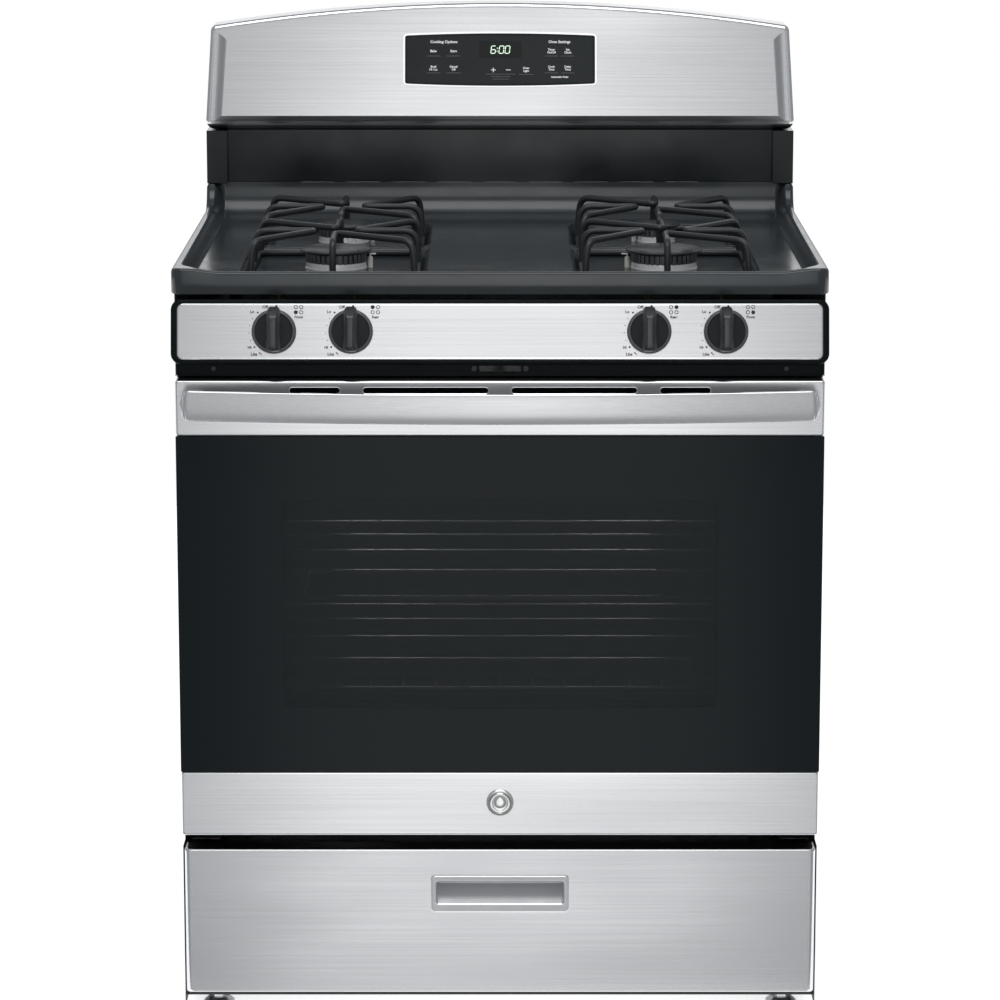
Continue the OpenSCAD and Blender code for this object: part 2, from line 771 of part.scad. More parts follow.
window_x = 253;
window_z = [400, 645];
hinge_slot_x = [340, 360];
hinge_slot_z = hinge_z + 64;

// The enamelled inner panel, with a raised plug that fills the oven mouth, a frame for its window pane
// and a pocket at each side for the hinge
module door_inner() {
    plug_x = 286;
    plug_z = [318, 702];
    plug_d = 36;
    t = 1.5;
    front = face_d + 6;
    pan_x = 368;
    pan = [door_z[0] + 2, door_z[1] - 2];
    color(enamel) placed() difference() {
        union() {
            block([-pan_x, pan_x], [front, door_back], pan);
            block([-plug_x, plug_x], [door_back - 1, plug_d], plug_z);
        }
        difference() {
            union() {
                block([-pan_x + t, pan_x - t], [front - 1, door_back - t], pan + [t, -t]);
                block([-plug_x + t, plug_x - t], [door_back - 3, plug_d - t], plug_z + [t, -t]);
            }
            blocks(hinge_slot_x + [-t, t], [hinge_d - 9 - t, door_back], [door_z[0], hinge_slot_z + t]);
            difference() {
                block([-window_x - 9, window_x + 9], [6, plug_d], window_z + [-9, 9]);
                block([-window_x - 7, window_x + 7], [5, plug_d - t], window_z + [-7, 7]);
            }
        }
        block([-window_x, window_x], [front - 1, plug_d + 1], window_z);
        blocks(hinge_slot_x, [hinge_d - 9, door_back + 1], [door_z[0], hinge_slot_z]);
    }
}

module door_window() {
    color("black") placed() block([-window_x - 6.5, window_x + 6.5], [14, 18], window_z + [-6.5, 6.5]);
}

// Two ears at each side, bored for the pins of the frame's brackets, with a mounting block above them
module door_hinges() {
    color(plated) placed() for (i = [0, 1]) mirror([i, 0, 0]) difference() {
        union() {
            for (x = [[340.6, 343.4], [356.6, 359.4]])
                across(x) union() {
                    translate([hinge_d, hinge_z]) circle(8.5);
                    polygon([[hinge_d - 8.5, hinge_z], [hinge_d + 8.5, hinge_z],
                        [door_back - 2.5, hinge_z + 30], [door_back - 2.5, hinge_z + 42],
                        [hinge_d - 8.5, hinge_z + 42]]);
                }
            block([340.6, 359.4], [hinge_d - 8.5, door_back - 2.5], [hinge_z + 14, hinge_z + 60]);
        }
        rod_x([339, 361], hinge_d, hinge_z, pin_r + running);
    }
}

handle_x = 368;
handle_z = [744.5, 779.5];
handle_end_d = -44;

function bow_d(x) = handle_end_d - handle_bow * (1 - x * x / (handle_x * handle_x));

// The bowed handle bar, with an end block at each side that carries it off the door
module door_handle() {
    thick = 13;
    color(steel) placed() {
        upward(handle_z) polygon(concat(
            [for (i = [0:24]) let (x = -handle_x + handle_x * i / 12) [x, bow_d(x)]],
            [for (i = [0:24]) let (x = handle_x - handle_x * i / 12) [x, bow_d(x) + thick]]));
        for (i = [0, 1]) mirror([i, 0, 0])
            upward(handle_z + [3, -3]) polygon([[handle_x - 24, -38], [handle_x, -38], [handle_x, -30],
                [handle_x - 5, face_d + 0.4], [handle_x - 20, face_d + 0.4]]);
    }
}

// ---- Drawer ----

pull_x = 75.5;
pull_z = [159, 187];
tray_x = 334;
tray_d = [14, 560];

module drawer_front() {
    t = 1.2;
    color(steel) placed() difference() {
        block([-drawer_w / 2, drawer_w / 2], [face_d + 0.5, 12], drawer_z);
        block([-drawer_w / 2 + t, drawer_w / 2 - t], [face_d + 0.5 + t, 13], drawer_z + [t, -t]);
        block([-pull_x - 4, pull_x + 4], [face_d - 1, face_d + 5], pull_z + [-4, 4]);
    }
}

// The stamped finger cup let into the drawer front
module drawer_pull() {
    rim_x = 81.5;
    color("silver") placed() difference() {
        union() {
            translate([0, 0, 171]) through([face_d - 1.5, face_d + 0.4]) rounded(2 * rim_x, 46, 5);
            block([-pull_x - 3, pull_x + 3], [face_d, face_d + 26], pull_z + [-3, 3]);
        }
        across([-pull_x, pull_x]) polygon([[face_d - 2, pull_z[0]], [face_d + 2, pull_z[0]],
            [face_d + 23, pull_z[0] + 12], [face_d + 23, pull_z[1]], [face_d - 2, pull_z[1]]]);
    }
}

module drawer_tray() {
    t = 1.2;
    z = [64, 192];
    color(plated) placed() {
        difference() {
            block([-tray_x, tray_x], tray_d, z);
            block([-tray_x + t, tray_x - t], tray_d + [t, -t], [z[0] + t, z[1] + 1]);
        }
        block([-tray_x, tray_x], [12, tray_d[0] + t], [z[0] + 4, drawer_z[1] - 6]);
        blocks([tray_x - 1, tray_x + 13], [24, tray_d[1]], [z[1] - t, z[1]]);
        blocks([tray_x - 0.5, tray_x + 3], [rear_roller[0] - 12, tray_d[1] - 0.5],
            [rear_roller[1] - 12, z[1] - t]);
        for (i = [0, 1]) mirror([i, 0, 0])
            rod_x([tray_x, tray_x + 17], rear_roller[0], rear_roller[1], pin_r);
    }
}

front_roller = [64, 192 - 1.2 - roller_r - slack];    // depth and height of the rollers on the rails
rear_roller = [540, 152 + roller_r + slack];          // depth and height of the rollers on the drawer

// Fixed rails on the side panels: a lower track for the drawer's rollers and a pin for the front ones
module drawer_rails() {
    color(plated) placed() for (i = [0, 1]) mirror([i, 0, 0]) {
        block([inner_x - 2, inner_x], [40, 578], [146, 205]);
        block([tray_x + 5, inner_x - 1], [100, 578], [150.5, 152]);
        block([tray_x + 5, inner_x - 1], [100, 578], [203.5, 205]);
        rod_x([tray_x + 2, inner_x - 1], front_roller[0], front_roller[1], pin_r);
    }
}

module roller_pair(at, x) {
    color("white") placed() for (i = [0, 1]) mirror([i, 0, 0]) difference() {
        union() {
            rod_x(x, at[0], at[1], roller_r);
            rod_x([x[0] - 0.8, x[1] + 0.8], at[0], at[1], 6.5);
        }
        rod_x([x[0] - 2, x[1] + 2], at[0], at[1], pin_r + running);
    }
}

module rollers_front() {
    roller_pair(front_roller, [tray_x + 5, tray_x + 12]);
}

module rollers_rear() {
    roller_pair(rear_roller, [tray_x + 8, tray_x + 15]);
}

// ---- Racks ----

// A rack of plated wire: a stout outer frame, cross bars, and long wires laid on top
module rack(z) {
    side = cavity_x - 7;
    d = [60, 500];
    color("lightgray") placed() {
        for (i = [-1, 1]) {
            rod_y(i * (side - 0.5), d, z, 3);
            for (y = d)
                translate([i * (side - 0.5), y, z]) sphere(3.2);
        }
        for (y = d)
            rod_x([-side, side], y, z, 3);
        for (y = [208, 325, 420])
            rod_x([-side, side], y, z - 0.6, 2.4);
        for (x = [-7:7])
            rod_y(x * wire_pitch, d, z + 3.2, 1.7);
    }
}

side_panel(-1);  // side_left
side_panel(1);  // side_right
rear_panel();
base_frame();
front_frame();
oven_liner();
oven_floor();
oven_lamp();
bake_burner();
broil_burner();
gas_manifold();
gas_valves();
gas_regulator();
panel_frame();
panel_fascia();
cooktop();
burner_heads();
igniters();
backguard_body();
backguard_fascia();
backguard_cover();
control_overlay();
drawer_rails();
door_seal();
fasteners();
door_glass();
door_trim_top();
door_trim_bottom();
door_badge();
door_inner();
door_window();
door_handle();
door_hinges();
drawer_front();
drawer_tray();
drawer_pull();
rollers_front();
rollers_rear();
rack(rack_z[0]);  // rack_lower
rack(rack_z[1]);  // rack_upper
grate(0);  // grate_front_left
grate(1);  // grate_front_right
grate(2);  // grate_rear_right
grate(3);  // grate_rear_left
burner_cap(0);  // cap_front_left
burner_cap(1);  // cap_front_right
burner_cap(2);  // cap_rear_right
burner_cap(3);  // cap_rear_left
spindle(0);  // spindle_1
spindle(1);  // spindle_2
spindle(2);  // spindle_3
spindle(3);  // spindle_4
knob(0);  // knob_1
knob(1);  // knob_2
knob(2);  // knob_3
knob(3);  // knob_4
leg(0);  // leg_front_left
leg(1);  // leg_front_right
leg(2);  // leg_rear_right
leg(3);  // leg_rear_left
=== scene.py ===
import json
import math

import bmesh
import bpy
from mathutils import Matrix, Vector
from mathutils.geometry import tessellate_polygon


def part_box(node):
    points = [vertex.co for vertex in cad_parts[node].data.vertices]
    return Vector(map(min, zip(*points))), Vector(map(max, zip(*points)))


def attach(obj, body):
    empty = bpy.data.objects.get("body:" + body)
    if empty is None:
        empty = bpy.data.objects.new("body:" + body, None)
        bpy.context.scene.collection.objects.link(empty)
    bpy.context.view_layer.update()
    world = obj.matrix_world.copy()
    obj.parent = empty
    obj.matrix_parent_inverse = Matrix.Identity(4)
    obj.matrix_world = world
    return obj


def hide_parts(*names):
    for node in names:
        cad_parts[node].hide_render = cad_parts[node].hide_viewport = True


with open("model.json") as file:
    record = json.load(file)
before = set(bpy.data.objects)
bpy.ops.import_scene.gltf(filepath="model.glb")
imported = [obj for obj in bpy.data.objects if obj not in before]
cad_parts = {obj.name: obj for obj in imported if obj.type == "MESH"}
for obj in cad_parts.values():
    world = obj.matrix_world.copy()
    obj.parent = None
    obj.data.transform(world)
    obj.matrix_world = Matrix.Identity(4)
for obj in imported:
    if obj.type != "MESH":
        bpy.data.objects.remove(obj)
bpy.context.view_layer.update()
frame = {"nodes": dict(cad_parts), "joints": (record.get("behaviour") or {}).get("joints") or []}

# ---- Places, taken from the frame ----
# Outlines below are in millimetres. The second coordinate is the depth behind the cooktop's front edge.

FRONT_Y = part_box("cooktop")[0].y
HALF_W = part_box("cooktop")[1].x * 1000
BOXES = {name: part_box(name) for name in frame["nodes"]}
JOINTS = {joint["name"]: joint for joint in frame["joints"]}
CORNERS = ("front_left", "front_right", "rear_right", "rear_left")


def span(node, axis):
    """Lowest and highest value of a CAD node along x, d or z, in millimetres"""
    i = "xdz".index(axis)
    shift = FRONT_Y if axis == "d" else 0
    return tuple((corner[i] - shift) * 1000 for corner in BOXES[node])


MM = Matrix.Translation((0, FRONT_Y, 0)) @ Matrix.Scale(0.001, 4)
RIM_Z = span("cooktop", "z")[1] - 30
# PANEL and GUARD place x, depth and height on the knob panel and on the leaning face of the backguard
KNOB_TURN = JOINTS["knob_1_turn"]
PANEL_TILT = math.atan2(KNOB_TURN["axis"][2], -KNOB_TURN["axis"][1])
PANEL = (Matrix.Translation((0, KNOB_TURN["pos_m"][1], KNOB_TURN["pos_m"][2]))
         @ Matrix.Rotation(-PANEL_TILT, 4, "X") @ Matrix.Scale(0.001, 4))
GUARD_FRONT = (568, 1031)  # depth and height of the lower edge of the backguard's face
GUARD_TILT = math.radians(14.3)
GUARD = (Matrix.Translation((0, FRONT_Y + GUARD_FRONT[0] / 1000, GUARD_FRONT[1] / 1000))
         @ Matrix.Rotation(-GUARD_TILT, 4, "X") @ Matrix.Scale(0.001, 4))


# ---- Materials ----

NOISE_LOW, NOISE_HIGH = 0.3, 0.7  # hold nearly all values of a noise pattern
GRAIN = (3, 900, 900)  # the streaks of brushed sheet run along x


def set_inputs(node, values):
    """Sets plain values on a shader node's sockets; underscores stand for spaces"""
    for key, value in values.items():
        node.inputs[key.replace("_", " ")].default_value = value
    return node


def add_node(owner, kind, **values):
    return set_inputs(owner.node_tree.nodes.new("ShaderNode" + kind), values)


def principled(name, color, roughness, metallic=0.0, **sockets):
    """A Principled material; sockets are further plain values, such as coat or emission"""
    mat = bpy.data.materials.new(name)
    mat.use_nodes = True
    bsdf = mat.node_tree.nodes["Principled BSDF"]
    set_inputs(bsdf, {"Base_Color": (*color, 1), "Roughness": roughness, "Metallic": metallic, **sockets})
    return mat


def feed(mat, value, socket):
    """Links a value to a socket of the material's shader"""
    mat.node_tree.links.new(value, mat.node_tree.nodes["Principled BSDF"].inputs[socket])


def noise(mat, scale, detail=4.0, roughness=0.6):
    """A noise pattern in object space; scale is a number, or one for each axis"""
    links = mat.node_tree.links
    coords = add_node(mat, "TexCoord")
    mapping = add_node(mat, "Mapping", Scale=scale if isinstance(scale, tuple) else (scale, scale, scale))
    texture = add_node(mat, "TexNoise", Scale=1, Detail=detail, Roughness=roughness)
    links.new(coords.outputs["Object"], mapping.inputs["Vector"])
    links.new(mapping.outputs["Vector"], texture.inputs["Vector"])
    return texture.outputs["Fac"]


def remap(mat, value, low, high):
    """Spreads a noise value over the range from low to high"""
    ramp = add_node(mat, "MapRange", From_Min=NOISE_LOW, From_Max=NOISE_HIGH, To_Min=low, To_Max=high)
    mat.node_tree.links.new(value, ramp.inputs["Value"])
    return ramp.outputs["Result"]


def vary_roughness(mat, value, low, high):
    feed(mat, remap(mat, value, low, high), "Roughness")


def vary_color(mat, value, dark, light):
    mix = add_node(mat, "Mix")
    mix.data_type = "RGBA"
    mix.inputs[6].default_value = (*dark, 1)
    mix.inputs[7].default_value = (*light, 1)
    mat.node_tree.links.new(remap(mat, value, 0, 1), mix.inputs[0])
    feed(mat, mix.outputs[2], "Base Color")


def shade(color, factor):
    return tuple(min(1, factor * c) for c in color)


def add_bump(mat, value, distance, strength):
    bump = add_node(mat, "Bump", Strength=strength, Distance=distance)
    mat.node_tree.links.new(value, bump.inputs["Height"])
    feed(mat, bump.outputs["Normal"], "Normal")


def brushed(name, color, roughness):
    """Brushed steel: fine streaks along the sheet's long direction over a faint mottling"""
    mat = principled(name, color, roughness, 1.0)
    streaks = noise(mat, GRAIN, 6.0, 0.7)
    soft = noise(mat, (2, 6, 6), 2.0)
    vary_color(mat, streaks, shade(color, 0.9), shade(color, 1.06))
    vary_roughness(mat, soft, roughness - 0.03, roughness + 0.05)
    add_bump(mat, streaks, 0.00002, 0.35)
    return mat


def enamel(name, color, roughness, ripple=0.00004, shine=0.3):
    """Vitreous enamel: glossy, with a slight orange-peel ripple"""
    mat = principled(name, color, roughness, 0.0, Specular_IOR_Level=shine)
    vary_color(mat, noise(mat, 9, 3.0), shade(color, 0.85), shade(color, 1.15))
    vary_roughness(mat, noise(mat, 25), roughness - 0.03, roughness + 0.04)
    add_bump(mat, noise(mat, 220, 2.0), ripple, 0.5)
    return mat


def coated(name, color, roughness, grain, depth, spread=0.12, **sockets):
    """A painted, moulded or cast surface: fine grain, slight colour and gloss variation"""
    mat = principled(name, color, roughness, **sockets)
    vary_color(mat, noise(mat, 14, 5.0), shade(color, 1 - spread), shade(color, 1 + spread))
    vary_roughness(mat, noise(mat, 60, 3.0), roughness - 0.04, roughness + 0.05)
    add_bump(mat, noise(mat, grain, 3.0), depth, 0.6)
    return mat


STEEL = brushed("steel_brushed", (0.63, 0.635, 0.645), 0.23)
# a darker copy of the brushed steel for the knob panel and backguard faces: painted shade
STEEL_UPPER_SHADED = brushed("steel_upper_shaded", (0.57, 0.574, 0.583), 0.23)
# a still darker copy of the brushed steel for the drawer front: painted shade
STEEL_LOWER_SHADED = brushed("steel_lower_shaded", (0.53, 0.534, 0.545), 0.23)
# the handle bar's steel: rougher, and lighter than the other steel, a painted light on the bar
HANDLE_STEEL_LIT = brushed("steel_handle_lit", (0.79, 0.795, 0.80), 0.38)
# brighter, glossier steel for rolled edges and bevels: painted highlight lines along the steel's edges
STEEL_HIGHLIGHT = principled("steel_edge_highlight", (0.82, 0.83, 0.84), 0.16, 1.0)
# the finger cup's steel: lighter and less metallic than the drawer's steel, painted light that keeps the
# recess from lying dark in shade
CUP_STEEL_LIGHTENED = coated("steel_cup_lightened", (0.66, 0.66, 0.675), 0.45, 300, 0.00002, 0.03, metallic=0.45)
BLACK = enamel("enamel_black", (0.013, 0.0165, 0.0185), 0.16)
TOP_BLACK = enamel("enamel_cooktop", (0.031, 0.039, 0.0435), 0.2, shine=0.55)
PANEL_BLACK = enamel("enamel_panel", (0.006, 0.0095, 0.0105), 0.25, shine=0.06)
OVEN_BLACK = coated("enamel_oven", (0.016, 0.018, 0.019), 0.32, 500, 0.00003)
SIDE_BLACK = coated("paint_side", (0.018, 0.020, 0.022), 0.36, 900, 0.00004)
GALVANISED = coated("zinc_sheet", (0.50, 0.51, 0.52), 0.42, 120, 0.00003, 0.2, metallic=0.9)
GLASS = principled("glass_black", (0.0085, 0.0135, 0.0158), 0.14, 0.0, Specular_IOR_Level=0.115)
add_bump(GLASS, noise(GLASS, 7, 1.0), 0.00004, 0.3)
TINTED = principled("glass_window", (0.012, 0.018, 0.0205), 0.14, 0.0, Alpha=0.6, Specular_IOR_Level=0.13)
vary_color(TINTED, noise(TINTED, 3), (0.0135, 0.0200, 0.0225), (0.0155, 0.0225, 0.025))
PANE = principled("glass_inner", (0.02, 0.022, 0.022), 0.05, 0.0, Alpha=0.25)
vary_color(PANE, noise(PANE, 3), (0.018, 0.02, 0.02), (0.023, 0.025, 0.025))
LAMP = principled("glass_lamp", (0.75, 0.74, 0.70), 0.12, 0.0, Coat_Weight=0.5)
vary_color(LAMP, noise(LAMP, 40), (0.7, 0.69, 0.65), (0.8, 0.79, 0.75))
OVERLAY_INNER = enamel("overlay_inner", (0.0165, 0.021, 0.0235), 0.16, 0.00001, 0.15)
DISPLAY = enamel("overlay_display", (0.010, 0.014, 0.012), 0.12, 0.00001, 0.12)
CHROME = coated("chrome_wire", (0.62, 0.62, 0.61), 0.18, 300, 0.00001, 0.06, metallic=1.0)
GRATE_BLACK = coated("enamel_grate", (0.022, 0.0255, 0.0275), 0.34, 260, 0.00008, 0.15)
CAP_BLACK = coated("enamel_cap", (0.035, 0.040, 0.043), 0.42, 340, 0.00006, 0.15)
KNOB_BLACK = coated("plastic_knob", (0.009, 0.0115, 0.013), 0.4, 700, 0.00002, Specular_IOR_Level=0.25)
# the knob is one black plastic; this lighter grey on its bevel ring is a painted highlight
KNOB_RIM_HIGHLIGHT = coated("plastic_rim_highlight", (0.11, 0.12, 0.126), 0.3, 700, 0.00002)
# a mid grey for the grip bar, lighter than the knob's black plastic: painted light on the raised bar
KNOB_GRIP_LIGHTENED = coated("plastic_grip_lightened", (0.046, 0.052, 0.056), 0.27, 700, 0.00002)
PORT_GREY = coated("aluminium_grey", (0.20, 0.205, 0.21), 0.42, 400, 0.00005, 0.25, metallic=0.85)
BASE_BRIGHT = coated("aluminium_bright", (0.92, 0.92, 0.93), 0.3, 400, 0.00003, 0.05, metallic=0.35)
CERAMIC = coated("ceramic_white", (0.80, 0.78, 0.72), 0.35, 400, 0.00002, 0.05)
BRASS = coated("brass_cast", (0.58, 0.44, 0.20), 0.35, 250, 0.00004, 0.1, metallic=1.0)
PIPE = coated("pipe_black", (0.035, 0.036, 0.038), 0.5, 300, 0.00006, 0.2)
BURNT = coated("steel_burnt", (0.24, 0.22, 0.20), 0.45, 160, 0.00005, 0.25, metallic=0.8)
NYLON = coated("nylon_white", (0.78, 0.78, 0.74), 0.4, 500, 0.00002, 0.04)
BRAID = coated("braid_grey", (0.10, 0.10, 0.105), 0.85, 1500, 0.0004, 0.4)
SCREW = coated("screw_zinc", (0.66, 0.66, 0.67), 0.22, 300, 0.00001, 0.08, metallic=1.0)
SCREW_BLACK = coated("screw_black", (0.03, 0.031, 0.033), 0.34, 300, 0.00002, 0.1, metallic=0.6)
INK_BLACK = coated("ink_black", (0.015, 0.015, 0.016), 0.5, 600, 0.00001)
# white print that also glows by emission, though it is no lamp: painted light
INK_WHITE_GLOWING = coated("ink_white_glowing", (0.72, 0.74, 0.74), 0.5, 600, 0.00001, 0.03, Emission_Color=(1, 1, 1, 1),
                   Emission_Strength=0.3)
# glowing white for the overlay's rounded edge and the line inside it: a painted highlight
OVERLAY_EDGE_GLOW = coated("overlay_edge_glow", (0.86, 0.87, 0.87), 0.4, 600, 0.00001, 0.02, Emission_Color=(1, 1, 1, 1),
                  Emission_Strength=0.5)
INK_GREY = coated("ink_grey", (0.20, 0.21, 0.21), 0.5, 600, 0.00001, 0.03)
INK_RED = coated("ink_red", (0.45, 0.04, 0.04), 0.5, 600, 0.00001)
LIT = principled("digits_lit", (0.5, 0.6, 0.5), 0.5, Emission_Color=(0.62, 0.78, 0.62, 1),
                 Emission_Strength=0.9)
vary_color(LIT, noise(LIT, 300), (0.45, 0.55, 0.45), (0.5, 0.62, 0.5))


# ---- Mesh tools ----

def new_piece(name, build, body, material, replaces=(), sharp=32, weighted=True):
    """Turns what was built into a shaded piece that rides on a body"""
    mesh = build.mesh()
    mesh.name = name
    mesh.shade_smooth()
    mesh.set_sharp_from_angle(angle=math.radians(sharp))
    for m in material if isinstance(material, (list, tuple)) else [material]:
        mesh.materials.append(m)
    obj = bpy.data.objects.new(name, mesh)
    bpy.context.scene.collection.objects.link(obj)
    if weighted:
        modifier = obj.modifiers.new("normals", "WEIGHTED_NORMAL")
        modifier.keep_sharp = True
    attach(obj, body)
    if replaces:
        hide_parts(*replaces)


class Build:
    """Collects points in millimetres and faces with their materials, and turns them into a mesh"""

    def __init__(self, matrix=MM):
        self.matrix = matrix
        self.verts, self.faces, self.marks = [], [], []
        self.material = 0

    def points(self, coords):
        first = len(self.verts)
        self.verts += [self.matrix @ Vector(c) for c in coords]
        return list(range(first, len(self.verts)))

    def face(self, indices):
        self.faces.append(tuple(indices))
        self.marks.append(self.material)

    def patch(self, coords):
        """A flat face through new points"""
        self.face(self.points(coords))

    def strip(self, a, b, closed=True):
        """Joins two rows of vertices with four-sided faces"""
        n = len(a)
        for i in range(n if closed else n - 1):
            j = (i + 1) % n
            self.face((a[i], a[j], b[j], b[i]))

    def loft(self, loops, cap_start=False, cap_end=False):
        """Joins loops of equal length; returns the indices of each loop"""
        rows = [self.points(loop) for loop in loops]
        for a, b in zip(rows, rows[1:]):
            self.strip(a, b)
        if cap_start:
            self.face(rows[0][::-1])
        if cap_end:
            self.face(rows[-1])
        return rows

    def fill(self, outer, holes):
        """Fills the flat area between an outer loop and holes, all given as vertex indices"""
        loops = [outer, *holes]
        order = [i for loop in loops for i in loop]
        flat = [[self.matrix.inverted() @ self.verts[i] for i in loop] for loop in loops]
        for triangle in tessellate_polygon(flat):
            self.face([order[i] for i in triangle])

    def sweep(self, path, radius, sides, closed=False):
        """A round rod along a path"""
        path = [Vector(p) for p in path]
        n = len(path)
        tangents = []
        for i in range(n):
            before = path[(i - 1) % n] if closed or i else path[i]
            after = path[(i + 1) % n] if closed or i < n - 1 else path[i]
            tangents.append((after - before).normalized())
        side = tangents[0].orthogonal().normalized()
        loops = []
        for centre, tangent in zip(path, tangents):
            side = (side - tangent * side.dot(tangent)).normalized()
            up = tangent.cross(side)
            loops.append([centre + radius * (math.cos(a) * side + math.sin(a) * up)
                          for a in (math.tau * k / sides for k in range(sides))])
        rows = self.loft(loops)
        if closed:
            # the last ring is turned against the first, so it joins at the nearest vertex
            ends = [self.verts[i] for i in rows[-1]]
            start = self.verts[rows[0][0]]
            shift = min(range(sides), key=lambda k: (ends[k] - start).length)
            self.strip(rows[-1][shift:] + rows[-1][:shift], rows[0])
        else:
            self.face(rows[0][::-1])
            self.face(rows[-1])

    def lathe(self, profile, sides, at, axis="z"):
        """Revolves (radius, height) points about an axis through a point"""
        loops = []
        for r, h in profile:
            if axis == "z":
                loops.append([(at[0] + u, at[1] + v, at[2] + h) for u, v in circle(r, sides)])
            else:
                loops.append([(at[0] + u, at[1] - h, at[2] + v) for u, v in circle(r, sides)])
        return self.loft(loops, cap_start=profile[0][0] > 0, cap_end=profile[-1][0] > 0)

    def grid(self, columns, rows, surface):
        """A surface over a grid of parameter values; returns its vertex indices, row by row"""
        table = [self.points([surface(u, v) for u in columns]) for v in rows]
        for a, b in zip(table, table[1:]):
            self.strip(a, b, closed=False)
        return table

    def mesh(self):
        mesh = bpy.data.meshes.new("piece")
        mesh.from_pydata(self.verts, [], self.faces)
        mesh.polygons.foreach_set("material_index", self.marks)
        mesh.validate()
        work = bmesh.new()
        work.from_mesh(mesh)
        bmesh.ops.remove_doubles(work, verts=work.verts, dist=0.000002)
        bmesh.ops.recalc_face_normals(work, faces=work.faces)
        work.to_mesh(mesh)
        work.free()
        return mesh


def circle(r, sides):
    angles = [math.tau * k / sides for k in range(sides)]
    return [(r * math.cos(a), r * math.sin(a)) for a in angles]


def round_rect(w, h, r, inset=0.0, steps=6, centre=(0, 0)):
    """Points round a rectangle with rounded corners, the same number whatever its size"""
    w, h, r = w / 2 - inset, h / 2 - inset, max(0.01, r - inset)
    points = []
    for cx, cy, first in ((w - r, h - r, 0), (r - w, h - r, 90), (r - w, r - h, 180), (w - r, r - h, 270)):
        for k in range(steps + 1):
            a = math.radians(first + 90 * k / steps)
            points.append((centre[0] + cx + r * math.cos(a), centre[1] + cy + r * math.sin(a)))
    return points


def lay(loop, depth):
    """Places an (x, z) loop at one depth"""
    return [(x, depth, z) for x, z in loop]


def bend(points, radius, steps):
    """Rounds the corners of a path with arcs"""
    points = [Vector(p) for p in points]
    path = [points[0]]
    for before, corner, after in zip(points, points[1:], points[2:]):
        a, b = (before - corner).normalized(), (after - corner).normalized()
        half = a.angle(b) / 2
        reach = min(radius / math.tan(half), 0.48 * (before - corner).length, 0.48 * (after - corner).length)
        start, end = corner + a * reach, corner + b * reach
        for k in range(steps + 1):
            t = k / steps
            path.append(start.lerp(corner, t).lerp(corner.lerp(end, t), t))
    path.append(points[-1])
    return path


def smooth(t):
    """Rises from 0 to 1 with t, level at both ends"""
    t = min(1.0, max(0.0, t))
    return t * t * (3 - 2 * t)


def frange(start, end, step):
    """Even values from start to end, both included, about step apart"""
    n = max(1, round(abs(end - start) / step))
    return [start + (end - start) * i / n for i in range(n + 1)]


def edge_profile(radius, back, steps=5):
    """(inset, depth) steps round a front edge: from the back, forward along the side, over the rounding"""
    turns = [(radius - radius * math.sin(a), -radius * math.cos(a))
             for a in (math.pi / 2 * (1 - k / steps) for k in range(steps + 1))]
    return [(0, back)] + [(inset, radius + lift) for inset, lift in turns]


def material_on(node, material, bevel):
    """Gives a CAD node its material, merges its split vertices and rounds its edges"""
    obj = frame["nodes"][node]
    obj.data.materials.clear()
    obj.data.materials.append(material)
    weld = obj.modifiers.new("weld", "WELD")
    weld.merge_threshold = 0.00001
    round_off = obj.modifiers.new("bevel", "BEVEL")
    round_off.width = bevel / 1000
    round_off.segments = 2
    round_off.limit_method = "ANGLE"
    round_off.angle_limit = math.radians(50)
    round_off.use_clamp_overlap = True
    round_off.harden_normals = False
    normals = obj.modifiers.new("normals", "WEIGHTED_NORMAL")
    normals.keep_sharp = True


# ---- Cooktop ----

PAN_DROP = 17  # from the side rims down to the pan
WELL_DROP = 9  # from the pan down to the wells round the burners
# middle, width and depth of each well
WELLS = [(side * 197, d, 218, deep) for side in (-1, 1) for d, deep in ((195, 218), (428, 216))]
# the cove at the back: where pan and rim start to curve up, the radius, and the length along the grid
PAN_COVE, PAN_COVE_R, PAN_COVE_RUN = 548, 42, 66
RIM_COVE, RIM_COVE_R, RIM_COVE_RUN = 536, 38, 52
RIM_COVE_TURN = math.radians(78)
RIM_SLOPE = 0.542  # depth for each millimetre of grid above the rim's curve
CORNER_R = 14  # front corners, seen from above
EDGE_R = 5  # rounding of the outer edge
FRONT_DROP = 4  # how much lower the front rim lies than the side rims
RIM_W = 9  # width of the rims, to where the wall falls to the pan
PAN_DEPTH, PAN_R = 782, 38
WALL_RUN = 14


def rect_inside(x, y, w, h, r):
    """Distance inside a rounded rectangle centred on the origin; negative outside it"""
    qx, qy = abs(x) - w / 2 + r, abs(y) - h / 2 + r
    return r - math.hypot(max(qx, 0), max(qy, 0)) - min(max(qx, qy), 0)


